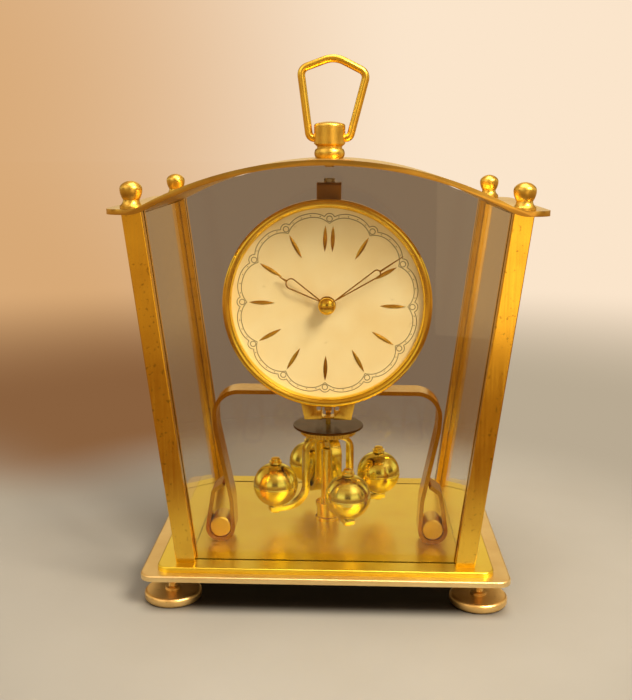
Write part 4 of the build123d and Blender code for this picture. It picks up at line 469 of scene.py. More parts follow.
# Levelling feet: four brass discs turned from bar, with rounded rims, a shoulder and a threaded
# stud that screws into the lower plate. Satin, with the fine rings of the lathe.
FOOT_RADIUS = 12.3
FOOT_HEIGHT = 4.0
FOOT_ROUNDING = 1.4
FOOT_FLAT_EDGE = 0.6
FOOT_SHOULDER = (3.4, 4.9)
SHOULDER_EASE = 0.2
STUD_TOP = 15.65
THREAD = (2.0, 1.7)
THREAD_PITCH = 0.8
THREAD_START = 0.1
FEET = {
    "foot_front_left": (-65.8, -49.6),
    "foot_front_right": (65.8, -49.6),
    "foot_rear_left": (-65.8, 49.6),
    "foot_rear_right": (65.8, 49.6),
}
turned_satin = metal("satin_turned_brass", "#f3cf8a", "#cca05a", 0.38, (40, 40, 0.5), specks=0.15)


def bend(centre, radius, first, last, steps=7):
    """Points along an arc, from one angle to another in degrees."""
    turns = [radians(first + (last - first) * k / steps) for k in range(steps + 1)]
    return [(centre[0] + radius * cos(a), centre[1] + radius * sin(a)) for a in turns]


inset = FOOT_RADIUS - FOOT_ROUNDING
neck, shoulder = FOOT_SHOULDER
profile = [(0, 0), (inset - FOOT_FLAT_EDGE, 0)]
profile += bend((inset, FOOT_ROUNDING), FOOT_ROUNDING, -90, 0)
profile += bend((inset, FOOT_HEIGHT - FOOT_ROUNDING), FOOT_ROUNDING, 0, 90)
profile += [(inset - FOOT_FLAT_EDGE, FOOT_HEIGHT), (neck + SHOULDER_EASE, FOOT_HEIGHT)]
profile += [(neck, FOOT_HEIGHT + SHOULDER_EASE), (neck, shoulder - SHOULDER_EASE)]
profile += [(neck - SHOULDER_EASE, shoulder)]
turn_count = int((STUD_TOP - shoulder) / THREAD_PITCH)
for k in range(turn_count):
    low = shoulder + THREAD_START + k * THREAD_PITCH
    profile += [(THREAD[1], low), (THREAD[0], low + THREAD_PITCH / 2)]
profile += [(THREAD[1], STUD_TOP), (0, STUD_TOP)]
for node, (x, y) in FEET.items():
    foot = turned(node + "_turned", profile, turned_satin, sides=120)
    foot.data.transform(Matrix.Translation((x / 1000, y / 1000, 0)))
    stands_for(foot, node)

# Guide post: a turned brass cup with a tube, screwed to the middle of the plinth. The pendulum's
# pin turns in it.
turned_bright = metal("bright_turned_brass", "#ffe668", "#e8ba46", 0.2, (40, 40, 0.5))
dress(turned_bright, "guide_post")

# Strap frame: one strip of half-hard brass, bent cold and polished with a felt wheel. Each foot
# closes round a turned post that a base screw pulls down.
strip_brass = metal(
    "felt_polished_brass_strip", "#dca62c", "#aa7820", 0.2, (9, 9, 9), relief=0.0005, coat=0.1
)
dress(strip_brass, "strap_frame")
post_brass = metal("satin_post_brass", "#ffdc5c", "#dcab45", 0.36, (40, 0.5, 40))
dress(post_brass, "strap_posts")

# Movement plates: two plates of hard rolled brass, grained upright, that four turned pillars hold
# apart. Clockmakers leave such plates bright and lacquer them thinly.
PLATE_EASE = 0.15
MERGED_WITHIN = 0.001
FLAT_WITHIN = 0.6
EASED_ABOVE = 40
EASED_SEGMENTS = 3
grained_plate = metal(
    "grained_movement_brass", "#e6c266", "#cda552", 0.24, (0.5, 3, 40), spread=0.02, relief=0.0003
)


def merged(node):
    """A copy of a CAD piece's mesh, and its shape with the loose triangles joined to whole faces."""
    mesh = frame["nodes"][node].data.copy()
    shape = bmesh.new()
    shape.from_mesh(mesh)
    bmesh.ops.remove_doubles(shape, verts=shape.verts, dist=MERGED_WITHIN / 1000)
    flat = radians(FLAT_WITHIN)
    bmesh.ops.dissolve_limit(shape, angle_limit=flat, verts=shape.verts, edges=shape.edges)
    return mesh, shape


def eased(node, ease, material):
    """A copy of a CAD piece whose sharp edges are slightly rounded, as polishing leaves them."""
    name = node + "_eased"
    mesh, shape = merged(node)
    shape.to_mesh(mesh)
    shape.free()
    mesh.materials.clear()
    mesh.materials.append(material)
    piece = bpy.data.objects.new(name, mesh)
    bpy.context.scene.collection.objects.link(piece)
    rounding = piece.modifiers.new("eased_edges", "BEVEL")
    rounding.width = ease / 1000
    rounding.segments = EASED_SEGMENTS
    rounding.limit_method = "ANGLE"
    rounding.angle_limit = radians(EASED_ABOVE)
    return smooth(baked(piece, name))


for node in ("front_plate", "back_plate"):
    stands_for(eased(node, PLATE_EASE, grained_plate), node)
dress(turned_bright, "plate_pillars", "dial_feet")

# Movement screws: fourteen slotted cheese-head screws of polished steel, in front of, behind and
# under the plates. The shanks end inside the pillars and plates.
PLATE_SCREW_HEAD = (2.4, 1.3)
PLATE_SCREW_RADIUS = 1.2
FRONT_FACE = -26.8
BACK_FACE = -7.6
GUARD_SHEET = 1.2
BRACKET_SHEET = 1.6
PLATE_PILLARS = [(x, z) for x in (-20.5, 20.5) for z in (90.3, 151.0)]
FRONT_SCREWS = [(x, FRONT_FACE, z) for x, z in PLATE_PILLARS]
REAR_SCREWS = [(x, BACK_FACE, z) for x, z in PLATE_PILLARS]
REAR_SCREWS += [(x, BACK_FACE + GUARD_SHEET, 89.6) for x in (-9.0, 9.0)]
REAR_SCREWS += [(x, BACK_FACE + BRACKET_SHEET, 146.6) for x in (-2.8, 2.8)]
SEAT_SCREWS = [(x, -21.5, 85.8) for x in (-20.5, 20.5)]
SCREW_GROUPS = {
    "rear_screws": (REAR_SCREWS, 2.6, (-90, 25, 0), (0, 31, 0)),
    "front_screws": (FRONT_SCREWS, 3.9, (90, 10, 0), (0, 47, 0)),
    "seat_screws": (SEAT_SCREWS, 5.0, (180, 0, 0), (0, 0, 0)),
}
screws = []
for name, (places, reach, first, step) in SCREW_GROUPS.items():
    screw = slotted_screw(PLATE_SCREW_HEAD, (PLATE_SCREW_RADIUS, reach))
    screws.append(repeated(name, screw, places, screw_steel, first, step))
stands_for(screws[0], "movement_screws")
for group in screws[1:]:
    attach(group, "case")

# Barrel: a thin-walled drum with a toothed plate, turned from brass. The mainspring is a blue
# steel ribbon coiled inside it, hooked to the arbor's hub.
BARREL_AT = (9.0, 103.5)
SPRING_INNER = 4.7
SPRING_OUTER = 12.2
SPRING_THICKNESS = 0.26
SPRING_TURNS = 12
STEPS_IN_TURN = 56
SPRING_EDGES = (-21.7, -14.9)
wheel_brass = metal("cut_wheel_brass", "#ecc765", "#d0a349", 0.22, (5, 5, 5))
spring_blue = metal("blued_spring_steel", "#5a6470", "#3b4049", 0.24, (4, 2, 4), coat=0.1)
dress(wheel_brass, "mainspring_barrel")
vertices, faces = [], []
steps = STEPS_IN_TURN * SPRING_TURNS
for k in range(steps + 1):
    a = 2 * pi * SPRING_TURNS * k / steps
    middle = SPRING_INNER + (SPRING_OUTER - SPRING_INNER) * k / steps
    for radius in (middle - SPRING_THICKNESS / 2, middle + SPRING_THICKNESS / 2):
        x, z = BARREL_AT[0] + radius * cos(a), BARREL_AT[1] + radius * sin(a)
        vertices += [(x, SPRING_EDGES[0], z), (x, SPRING_EDGES[1], z)]
for k in range(steps):
    a, b = 4 * k, 4 * k + 4
    faces += [(a, b, b + 1, a + 1), (a + 2, a + 3, b + 3, b + 2)]
    faces += [(a, a + 2, b + 2, b), (a + 1, b + 1, b + 3, a + 3)]
faces += [(0, 1, 3, 2), (4 * steps, 4 * steps + 2, 4 * steps + 3, 4 * steps + 1)]
coil = outward(new_object("mainspring_coil", vertices, faces, spring_blue))
stands_for(smooth(coil), "mainspring")

# Winding work: the arbor's square takes the key; a saw-toothed ratchet and its click hold the
# spring. All are hardened steel, polished.
tool_steel = metal("polished_tool_steel", "#c4c4c0", "#96948f", 0.2, (2, 2, 2), coat=0)
dress(tool_steel, "winding_arbor", "ratchet_wheel", "click")

# Going train: cut brass wheels on steel arbors, with steel pinions. The parts that lie near the
# axis of each solid get the steel, and the wheel round them the brass.
TRAIN = {
    "first_wheel": ((-5.501, 110.262), 2.0),
    "second_wheel": ((-11.033, 120.911), 1.55),
    "centre_wheel": ((0, 126), 1.7),
    "third_wheel": ((8.678, 136.342), 3.15),
    "escape_wheel": ((0, 142.074), 2.8),
    "minute_wheel": ((-7.864, 120.494), 2.35),
}
for node, (axis, steel_radius) in TRAIN.items():
    dress(wheel_brass, node)
    wheel = frame["nodes"][node].data
    wheel.materials.append(tool_steel)
    for face in wheel.polygons:
        corners = [wheel.vertices[k].co * 1000 for k in face.vertices]
        if max(hypot(c.x - axis[0], c.z - axis[1]) for c in corners) < steel_radius:
            face.material_index = 1
dress(tool_steel, "anchor", "minute_stud")
dress(wheel_brass, "cannon_pinion", "hour_wheel")

# Dial: a brass disc sprayed with cream lacquer that has yellowed a little unevenly with age, with
# small brown freckles. It stands on feet in the front plate.
DIAL_AT = (0, -32.0, 126.0)
DIAL_TURN = 1.3
CREAM = "#fff0bc"
YELLOWED_CREAM = "#f6dea0"
YELLOWED_SIZE = 22
YELLOWED_EDGES = {"From Min": 0.35, "From Max": 0.7}
FRECKLE_COLOUR = "#a98a4a"
FRECKLE_SIZE = 3.4
FRECKLE_EDGES = {"From Min": 0.71, "From Max": 0.8, "To Max": 0.35}
dial_cream, tree, out = new_material("aged_cream_dial_lacquer")
place = add(tree, "ShaderNodeTexCoord").outputs["Object"]
pattern = {"Vector": place, "Scale": 1000 / YELLOWED_SIZE, "Detail": 5}
patches = add(tree, "ShaderNodeTexNoise", pattern).outputs[0]
yellowed = add(tree, "ShaderNodeMapRange", {"Value": patches, **YELLOWED_EDGES}).outputs[0]
colours = {"Factor": yellowed, "A": CREAM, "B": YELLOWED_CREAM}
colour = add(tree, "ShaderNodeMix", colours, data_type="RGBA").outputs["Result"]
pattern = {"Vector": place, "Scale": 1000 / FRECKLE_SIZE, "Detail": 2}
freckles = add(tree, "ShaderNodeTexNoise", pattern).outputs[0]
freckled = add(tree, "ShaderNodeMapRange", {"Value": freckles, **FRECKLE_EDGES}).outputs[0]
colours = {"Factor": freckled, "A": colour, "B": FRECKLE_COLOUR}
colour = add(tree, "ShaderNodeMix", colours, data_type="RGBA").outputs["Result"]
surface = {"Base Color": colour, "Roughness": 0.36, "Coat Weight": 0.15}
shader = add(tree, "ShaderNodeBsdfPrincipled", surface)
tree.links.new(shader.outputs[0], out.inputs["Surface"])
dress(dial_cream, "dial")

# Printing: a fine grey-brown ornament round the edge. A scalloped double line has a small ring at
# each hour, and a dot for each minute between the lines. It is drawn once and set twelve times.
LINE_WIDTH = 0.3
PRINT_FRONT = -0.03
PRINT_BACK = 0.02
RING_AT = 36.0
RING_RADIUS = 1.15
CUSP_RADIUS = 34.0
INNER_LOBE = 37.2
OUTER_LOBE = 38.8
BUMP_EDGE = (3.2, 36.9)
LOBE_SHAPE = 2.5
MINUTE_DOTS = ((-12, 37.8), (-6, 37.05), (6, 37.05), (12, 37.8))
DOT_RADIUS = 0.24
DOT_SIDES = 8
HALF_HOUR = 15
LOBE_STEPS = 24
HALF_LOBE_STEPS = 18
BUMP_STEPS = 14
RING_SIDES = 20
INK = "#4b3f24"
WORN_INK = "#7c6d42"
WEAR_SIZE = 9


def polar(angle, radius):
    """A point of the dial's face, from its angle past the twelve and its distance from the middle."""
    return radius * sin(radians(angle)), radius * cos(radians(angle))


def ribbon(vertices, faces, points, closed=False):
    """Adds a printed line along points of the dial's face, with a little thickness."""
    first, count = len(vertices), len(points)
    for k, (x, z) in enumerate(points):
        before = points[k - 1] if k or closed else points[k]
        after = points[(k + 1) % count] if k < count - 1 or closed else points[k]
        dx, dz = after[0] - before[0], after[1] - before[1]
        span = hypot(dx, dz)
        ax, az = -dz / span * LINE_WIDTH / 2, dx / span * LINE_WIDTH / 2
        for sign, depth in ((1, PRINT_FRONT), (-1, PRINT_FRONT), (-1, PRINT_BACK), (1, PRINT_BACK)):
            vertices.append((x + sign * ax, depth, z + sign * az))
    for k in range(count if closed else count - 1):
        a, b = first + 4 * k, first + 4 * ((k + 1) % count)
        faces += [(a + j, a + (j + 1) % 4, b + (j + 1) % 4, b + j) for j in range(4)]
    if not closed:
        last = first + 4 * (count - 1)
        faces += [(first + 3, first + 2, first + 1, first), (last, last + 1, last + 2, last + 3)]


vertices, faces = [], []
sweep = [HALF_HOUR * k / LOBE_STEPS for k in range(-LOBE_STEPS, LOBE_STEPS + 1)]
depth = INNER_LOBE - CUSP_RADIUS
inner = [polar(a, INNER_LOBE - depth * (1 - abs(a) / HALF_HOUR) ** LOBE_SHAPE) for a in sweep]
ribbon(vertices, faces, inner)
edge, edge_radius = BUMP_EDGE
width, depth = HALF_HOUR - edge, OUTER_LOBE - edge_radius
half_lobe = [edge + width * k / HALF_LOBE_STEPS for k in range(HALF_LOBE_STEPS + 1)]
outer = [polar(a, OUTER_LOBE - depth * ((HALF_HOUR - a) / width) ** LOBE_SHAPE) for a in half_lobe]
reach = outer[0][0], outer[0][1] - RING_AT
start = atan2(reach[1], reach[0])
bump = [start + (pi - 2 * start) * k / BUMP_STEPS for k in range(1, BUMP_STEPS)]
bump = [(hypot(*reach) * cos(a), RING_AT + hypot(*reach) * sin(a)) for a in bump]
ribbon(vertices, faces, outer[::-1] + bump + [(-x, z) for x, z in outer])
turns = [2 * pi * k / RING_SIDES for k in range(RING_SIDES)]
ring = [(RING_RADIUS * cos(a), RING_AT + RING_RADIUS * sin(a)) for a in turns]
ribbon(vertices, faces, ring, closed=True)
turns = [2 * pi * k / DOT_SIDES for k in range(DOT_SIDES)]
for angle, radius in MINUTE_DOTS:
    x, z = polar(angle, radius)
    first = len(vertices)
    for depth in (PRINT_FRONT, PRINT_BACK):
        vertices += [(x + DOT_RADIUS * cos(a), depth, z + DOT_RADIUS * sin(a)) for a in turns]
    faces.append([first + k for k in reversed(range(DOT_SIDES))])
    faces.append([first + DOT_SIDES + k for k in range(DOT_SIDES)])
    for k in range(DOT_SIDES):
        a, b = first + k, first + (k + 1) % DOT_SIDES
        faces.append((a, b, b + DOT_SIDES, a + DOT_SIDES))
ink, tree, out = new_material("dial_printing_ink")
place = add(tree, "ShaderNodeTexCoord").outputs["Object"]
pattern = {"Vector": place, "Scale": 1000 / WEAR_SIZE, "Detail": 3}
wear = add(tree, "ShaderNodeTexNoise", pattern).outputs[0]
colours = {"Factor": wear, "A": INK, "B": WORN_INK}
colour = add(tree, "ShaderNodeMix", colours, data_type="RGBA").outputs["Result"]
shader = add(tree, "ShaderNodeBsdfPrincipled", {"Base Color": colour, "Roughness": 0.5})
tree.links.new(shader.outputs[0], out.inputs["Surface"])
motif = new_object("dial_motif", vertices, faces)
twelve = [DIAL_AT] * 12
printing = outward(repeated("dial_printing", motif, twelve, ink, (0, DIAL_TURN, 0), (0, 30, 0)))
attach(printing, "case")

# Hour markers: thirteen thin leaves stamped from brass, two for the twelve, each with a ridge
# along its middle, so that one side catches the light and the other is dark. Gilded.
MARKER_ENDS = (22.2, 33.2)
MARKER_WIDTH = 1.7
MARKER_HEIGHT = 0.5
MARKER_EDGE = 0.1
MARKER_PAIR = 1.6
MARKER_STEPS = 16
gilt = metal("gilded_stamped_brass", "#d7a63c", "#8d6a22", 0.2, (3, 3, 3), cloud=5.0, coat=0)
middle, half = sum(MARKER_ENDS) / 2, (MARKER_ENDS[1] - MARKER_ENDS[0]) / 2
arc = (half**2 + (MARKER_WIDTH / 2) ** 2) / MARKER_WIDTH
stations = [half * (2 * k / MARKER_STEPS - 1) for k in range(1, MARKER_STEPS)]
vertices = [(0, 0, middle - half), (0, 0, middle + half)]
for z in stations:
    aside = sqrt(arc**2 - z**2) - arc + MARKER_WIDTH / 2
    ridge = MARKER_EDGE + (MARKER_HEIGHT - MARKER_EDGE) * aside / (MARKER_WIDTH / 2)
    section = [(-aside, 0), (-aside, -MARKER_EDGE), (0, -ridge), (aside, -MARKER_EDGE), (aside, 0)]
    vertices += [(x, depth, middle + z) for x, depth in section]
faces = []
for k in range(len(stations) - 1):
    a, b = 2 + 5 * k, 7 + 5 * k
    faces += [(a + j, a + (j + 1) % 5, b + (j + 1) % 5, b + j) for j in range(5)]
last = 2 + 5 * (len(stations) - 1)
faces += [(2 + (j + 1) % 5, 2 + j, 0) for j in range(5)]
faces += [(last + j, last + (j + 1) % 5, 1) for j in range(5)]


def leaves(name, count, aside, first, step):
    """Copies of the leaf round the dial."""
    shifted = [(x + aside, depth, z) for x, depth, z in vertices]
    leaf = new_object("leaf", shifted, faces)
    return outward(repeated(name, leaf, [DIAL_AT] * count, gilt, (0, first, 0), (0, step, 0)))


marker_sets = [
    leaves("hour_leaves", 11, 0, 30 + DIAL_TURN, 30),
    leaves("left_noon_leaf", 1, -MARKER_PAIR, DIAL_TURN, 0),
    leaves("right_noon_leaf", 1, MARKER_PAIR, DIAL_TURN, 0),
]
stands_for(marker_sets[0], "hour_markers")
for group in marker_sets[1:]:
    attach(group, "case")

# Bezel: a ring turned from brass and polished, rounded in front. The dial's edge lies in the rebate
# at its back. Each pair is a radius and a distance in front of the clock's middle.
BEZEL_LIP = (40.4, 32.93)
BEZEL_INSIDE = (41.15, 35.1)
BEZEL_CROWN = (42.4, 35.9)
BEZEL_OUTSIDE = (43.78, 35.3)
BEZEL_SIDE = (44.2, 33.8)
BEZEL_BACK = 30.8
BEZEL_EASE = 0.25
REBATE = (42.83, 32.03)
polished = metal("polished_lacquered_brass", "#ffdb50", "#edbb32", 0.13, (6, 6, 6), relief=0.0005)


def through(first, middle, last, steps=12):
    """Points along the arc that runs through three given ones."""
    (ax, ay), (bx, by), (cx, cy) = first, middle, last
    d = 2 * (ax * (by - cy) + bx * (cy - ay) + cx * (ay - by))
    a, b, c = ax * ax + ay * ay, bx * bx + by * by, cx * cx + cy * cy
    x = (a * (by - cy) + b * (cy - ay) + c * (ay - by)) / d
    y = (a * (cx - bx) + b * (ax - cx) + c * (bx - ax)) / d
    start, way, end = (atan2(q - y, p - x) for p, q in (first, middle, last))
    swing = (end - start) % (2 * pi)
    if (way - start) % (2 * pi) > swing:
        swing -= 2 * pi
    radius = hypot(ax - x, ay - y)
    turns = [start + swing * k / steps for k in range(steps + 1)]
    return [(x + radius * cos(t), y + radius * sin(t)) for t in turns]


rim = BEZEL_SIDE[0]
profile = [(REBATE[0], BEZEL_BACK), REBATE, (BEZEL_LIP[0], REBATE[1])]
profile += through(BEZEL_LIP, BEZEL_INSIDE, BEZEL_CROWN)
profile += through(BEZEL_CROWN, BEZEL_OUTSIDE, BEZEL_SIDE)[1:]
profile += [(rim, BEZEL_BACK + BEZEL_EASE), (rim - BEZEL_EASE, BEZEL_BACK)]
bezel = turned("turned_bezel", profile, polished, sides=240, ring=True)
to_front = Matrix.Translation((0, 0, DIAL_AT[2] / 1000)) @ Matrix.Rotation(pi / 2, 4, "X")
bezel.data.transform(to_front)
stands_for(bezel, "bezel")

# Hands: open loops with needle points, stamped from brass sheet, lightly chamfered and gilded. A
# domed nut on the centre arbor holds them.
HAND_EASE = 0.12
hand_gilt = metal("gilded_hand_brass", "#c79a35", "#8a6420", 0.18, (3, 3, 3), cloud=6.0, coat=0)
for node in ("hour_hand", "minute_hand"):
    stands_for(eased(node, HAND_EASE, hand_gilt), node)
dress(polished, "hand_nut")

# Suspension: a bracket bent from sheet behind the back plate, a block screwed under its shelf, and the thin
# ribbon spring with the fork clamped near its top. The bracket's dark colour is painted shade.
SHEET_EASE = 0.2
HANGER_HEAD = (2.4, 1.8)
HANGER_SHANK = (1.2, 3.2)
HANGER_AT = (0, 0, 175.8)
shade_darkened_sheet = metal("shade_darkened_brass_sheet", "#a8742f", "#744a1a", 0.4, (2, 2, 14), coat=0.1, specks=0.3)
stands_for(eased("suspension_bracket", SHEET_EASE, shade_darkened_sheet), "suspension_bracket")
hanger = slotted_screw(HANGER_HEAD, HANGER_SHANK)
screw = repeated("slotted_suspension_screw", hanger, [HANGER_AT], screw_steel, (0, 0, 20))
stands_for(screw, "suspension_screw")
ribbon_steel = metal("pale_spring_steel", "#b8b6ae", "#8c8a83", 0.24, (1, 1, 8), coat=0)
dress(wheel_brass, "top_block", "bottom_block", "fork")
dress(ribbon_steel, "suspension_spring")

# Guard: a bright trapezoid plate cut from brass sheet and screwed to the back plate, so that it
# hangs under the movement. Its slotted tab steadies the rod.
sheet_brass = metal("polished_brass_sheet", "#fbd354", "#dbaa3c", 0.2, (2, 2, 16), spread=0.04)
stands_for(eased("suspension_guard", SHEET_EASE, sheet_brass), "suspension_guard")

# Pendulum: a rod with clamping collars, and a regulating disc over a knurled rim. The disc's top is
# coloured dark as painted shade from the guard above it, while its knurled rim is left bright.
KNURL_TOP = 63.05
shade_darkened_brass = metal(
    "shade_darkened_turned_brass", "#5a3612", "#2c1a08", 0.4, (40, 40, 0.4), cloud=6.0, coat=0.1, specks=0.2
)
dress(turned_bright, "pendulum_hub")
dress(shade_darkened_brass, "regulating_disc")
disc = frame["nodes"]["regulating_disc"].data
disc.materials.append(turned_bright)
# Faces above the knurl take the dark painted shade; the knurl itself gets the bright turned brass.
for face in disc.polygons:
    face.material_index = 1 if face.center.z * 1000 < KNURL_TOP else 0

# Arms: four strips of brass, bent to carry the balls. Each is buffed, which leaves it bright and
# eases its edges.
ARM_EASE = 0.35
arm_brass = metal("buffed_brass_strip", "#fff070", "#fadc52", 0.2, (8, 8, 8), relief=0.0005)
stands_for(eased("pendulum_arms", ARM_EASE, arm_brass), "pendulum_arms")

# Balls: each is two spun brass shells, pressed together and soldered, so that a fine groove between
# two lips runs round the middle. Polished and lacquered, with the faint rings of spinning. The pairs
# are a radius and a height on the lower half of the groove.
BALL_RADIUS = 10.3
BALL_CIRCLE = 25.9
BALL_HEIGHT = 37.5
BALL_ANGLE = -158.4
BALL_BORE = 1.05
SEAM_LIP = (10.32, -0.42)
SEAM_EDGE = (10.24, -0.3)
SEAM_FLOOR = (10.0, -0.22)
ROUND_BELOW = 0.8
spun_brass = metal("spun_polished_brass", "#fff67c", "#fdea5a", 0.16, (40, 40, 0.6))
limit = 90 - degrees(asin(BALL_BORE / BALL_RADIUS))
seam = degrees(ROUND_BELOW / BALL_RADIUS)
lower = bend((0, 0), BALL_RADIUS, -limit, -seam, steps=30) + [SEAM_LIP, SEAM_EDGE, SEAM_FLOOR]
profile = lower + [(radius, -height) for radius, height in reversed(lower)]
ball = turned("ball", profile, None, ring=True)
ball.data.transform(Matrix.Translation((BALL_CIRCLE / 1000, 0, BALL_HEIGHT / 1000)))
balls = repeated("spun_balls", ball, [(0, 0, 0)] * 4, spun_brass, (0, 0, BALL_ANGLE), (0, 0, 90))
stands_for(balls, "pendulum_balls")
dress(turned_bright, "ball_nuts", "ball_screws")

# Corner pillars: square brass bars, drawn and polished lengthwise, that lean outwards. Grooves in
# them hold the panes. The lacquer has small spots.
drawn_bar = metal("drawn_brass_bar", "#fbd04c", "#dba838", 0.2, (0.9, 0.9, 40), spread=0.05, specks=0.35)
dress(drawn_bar, "corner_pillars")

# Panes: four plates of clear float glass, slightly smoky, with ground edges whose grit is drawn
# coarser than real, so that it shows. Lamplight passes straight through, and keeps the inside bright.
PANES = ("glass_front", "glass_rear", "glass_left", "glass_right")
PANE_TINT = "#f5f2ec"
GLASS_IOR = 1.36
SMEAR_SIZE = 35
SMEAR_EDGES = {"From Min": 0.4, "From Max": 0.8, "To Min": 0.0, "To Max": 0.006}
EDGE_TINT = "#c9d2c4"
EDGE_IOR = 1.5
GRIT_SIZE = 0.8
GRIT_EDGES = {"To Min": 0.35, "To Max": 0.6}
BROAD_WITHIN = 0.9
clear, tree, out = new_material("smoky_float_glass")
place = add(tree, "ShaderNodeTexCoord").outputs["Object"]
pattern = {"Vector": place, "Scale": 1000 / SMEAR_SIZE, "Detail": 5}
smears = add(tree, "ShaderNodeTexNoise", pattern).outputs[0]
wiped = add(tree, "ShaderNodeMapRange", {"Value": smears, **SMEAR_EDGES}).outputs[0]
surface = {"Base Color": PANE_TINT, "Roughness": wiped, "IOR": GLASS_IOR, "Transmission Weight": 1}
glass = add(tree, "ShaderNodeBsdfPrincipled", surface).outputs[0]
open_way = add(tree, "ShaderNodeBsdfTransparent", {"Color": "#ffffff"}).outputs[0]
ray = add(tree, "ShaderNodeLightPath").outputs
kinds = {0: ray["Is Shadow Ray"], 1: ray["Is Diffuse Ray"]}
light_ray = add(tree, "ShaderNodeMath", kinds, operation="MAXIMUM").outputs[0]
both = add(tree, "ShaderNodeMixShader", {0: light_ray, 1: glass, 2: open_way})
tree.links.new(both.outputs[0], out.inputs["Surface"])
ground, tree, out = new_material("ground_glass_edge")
place = add(tree, "ShaderNodeTexCoord").outputs["Object"]
pattern = {"Vector": place, "Scale": 1000 / GRIT_SIZE, "Detail": 2}
grit = add(tree, "ShaderNodeTexNoise", pattern).outputs[0]
rough = add(tree, "ShaderNodeMapRange", {"Value": grit, **GRIT_EDGES}).outputs[0]
surface = {"Base Color": EDGE_TINT, "Roughness": rough, "IOR": EDGE_IOR, "Transmission Weight": 0.6}
shader = add(tree, "ShaderNodeBsdfPrincipled", surface)
tree.links.new(shader.outputs[0], out.inputs["Surface"])
for node in PANES:
    mesh, shape = merged(node)
    broadest = max(shape.faces, key=lambda face: face.calc_area())
    for face in shape.faces:
        face.smooth = False
        face.material_index = 0 if abs(face.normal.dot(broadest.normal)) > BROAD_WITHIN else 1
    shape.to_mesh(mesh)
    shape.free()
    mesh.materials.clear()
    mesh.materials.append(clear)
    mesh.materials.append(ground)
    pane = bpy.data.objects.new(node + "_pane", mesh)
    bpy.context.scene.collection.objects.link(pane)
    stands_for(pane, node)

# Top plate: one sheet bent to an arch, with flat round-cornered ends. It is brushed along its
# length and duller than the pillars. The finials and the handle's post are set in it.
TOP_EASE = 0.4
top_brass = metal(
    "brushed_bent_brass_sheet", "#e4ba58", "#b5863a", 0.3, (40, 0.5, 40), spread=0.02, relief=0.0003
)
stands_for(eased("top_plate", TOP_EASE, top_brass), "top_plate")

# Finials: four turned nuts with mushroom heads, a waisted neck and a collar, whose studs pull the
# top plate down on the pillars. Left satin, with the fine rings of the lathe. Pairs are a radius and
# a height above the seat.
FINIAL_X = 77.797
FINIAL_Y = 49.8
FINIAL_SEAT = 166.9
COLLAR = (4.65, 1.3)
COLLAR_EASE = 0.15
BELOW_NECK = (3.65, 2.25)
NECK = (3.25, 3.6)
ABOVE_NECK = (4.175, 5.55)
HEAD = (4.5, 7.7)
HEAD_TOP = 11.0
HEAD_ROUNDING = 2.4
FINIAL_STUD = (1.5, 9.0)
finial_brass = metal(
    "aged_satin_turned_brass", "#ecc65a", "#b8923e", 0.36, (40, 40, 0.45), cloud=7.0, specks=0.1
)


def dome(radius, z, rounding, apex):
    """From an upright side to the axis: a rounded shoulder that runs into a flatter crown."""
    inset = radius - rounding
    centre = ((apex - rounding) ** 2 - inset**2 - z**2) / (2 * (apex - rounding - z))
    crown = apex - centre
    tilt = degrees(atan2(z - centre, inset))
    shoulder = bend((inset, z), rounding, 0, tilt, steps=8)
    return shoulder + bend((0, centre), crown, tilt, 90, steps=10)[1:]


stud, depth = FINIAL_STUD
collar, thickness = COLLAR
profile = [(0, -depth), (stud, -depth), (stud, 0), (collar - COLLAR_EASE, 0)]
profile += [(collar, COLLAR_EASE), (collar, thickness - COLLAR_EASE)]
profile += through((collar - COLLAR_EASE, thickness), BELOW_NECK, NECK)
profile += through(NECK, ABOVE_NECK, HEAD)[1:] + dome(*HEAD, HEAD_ROUNDING, HEAD_TOP)[1:]
profile[-1] = (0, HEAD_TOP)
places = [(x, y, FINIAL_SEAT) for x in (-FINIAL_X, FINIAL_X) for y in (-FINIAL_Y, FINIAL_Y)]
finial = turned("finial", profile, None, sides=72)
finials = repeated("turned_finials", finial, places, finial_brass)
stands_for(finials, "finials")

# Handle: a turned post through the top plate, held by a nut below, and a bail bent from round
# brass rod whose ends turn in the post's cross hole. The bail hangs a little crooked.
ROD_RADIUS = 1.7
ROD_SIDES = 28
BAIL_AXIS = 194.9
BAIL_ENDS = (3.4, 8.9)
BAIL_SHOULDER = (14.5, 28.6)
BAIL_PEAK = 34.8
BAIL_BENDS = (2.6, 3.6, 11.0, 3.6, 2.6)
BAIL_LEAN = radians(3.3)
bail_brass = metal(
    "polished_round_brass_rod", "#f6ce50", "#d0a33c", 0.3, (9, 9, 9), spread=0.02, cloud=9.0, relief=0
)
dress(finial_brass, "handle_post", "handle_nut")


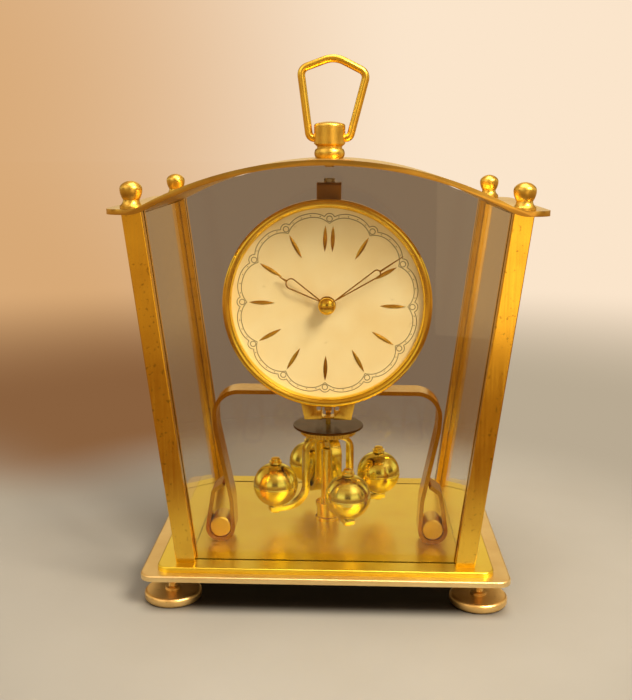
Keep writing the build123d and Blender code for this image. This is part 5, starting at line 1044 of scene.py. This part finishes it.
def leaning(x, z):
    """A corner of the bail, moved by its lean."""
    return x * cos(BAIL_LEAN) + z * sin(BAIL_LEAN), z * cos(BAIL_LEAN) - x * sin(BAIL_LEAN)


def bent_path(corners, bends, steps=10):
    """Straight stretches joined by arcs of the given radii."""
    path = [corners[0]]
    for before, corner, after, radius in zip(corners, corners[1:], corners[2:], bends):
        here = atan2(before[1] - corner[1], before[0] - corner[0])
        there = atan2(after[1] - corner[1], after[0] - corner[0])
        half = ((there - here + pi) % (2 * pi) - pi) / 2
        side = 1 if half > 0 else -1
        far = radius / abs(sin(half))
        x, z = corner[0] + far * cos(here + half), corner[1] + far * sin(here + half)
        for k in range(steps + 1):
            a = here - side * pi / 2 - side * (pi - 2 * abs(half)) * k / steps
            path.append((x + radius * cos(a), z + radius * sin(a)))
    return path + [corners[-1]]


loop = [(-BAIL_ENDS[0], 0), (-BAIL_ENDS[1], 0), leaning(-BAIL_SHOULDER[0], BAIL_SHOULDER[1])]
loop += [leaning(0, BAIL_PEAK), leaning(*BAIL_SHOULDER), (BAIL_ENDS[1], 0), (BAIL_ENDS[0], 0)]
path = bent_path(loop, BAIL_BENDS)
turns = [2 * pi * j / ROD_SIDES for j in range(ROD_SIDES)]
vertices = []
for k, (x, z) in enumerate(path):
    before, after = path[max(k - 1, 0)], path[min(k + 1, len(path) - 1)]
    heading = atan2(after[1] - before[1], after[0] - before[0])
    for turn in turns:
        out_of_bend = ROD_RADIUS * cos(turn)
        across, height = x - out_of_bend * sin(heading), z + out_of_bend * cos(heading)
        vertices.append((across, ROD_RADIUS * sin(turn), BAIL_AXIS + height))
last = ROD_SIDES * (len(path) - 1)
faces = [list(range(ROD_SIDES)), [last + j for j in range(ROD_SIDES)]]
for k in range(0, last, ROD_SIDES):
    for j in range(ROD_SIDES):
        beside = (j + 1) % ROD_SIDES
        faces.append((k + j, k + beside, k + ROD_SIDES + beside, k + ROD_SIDES + j))
bail = outward(new_object("bent_rod_bail", vertices, faces, bail_brass))
stands_for(smooth(bail), "handle_bail")
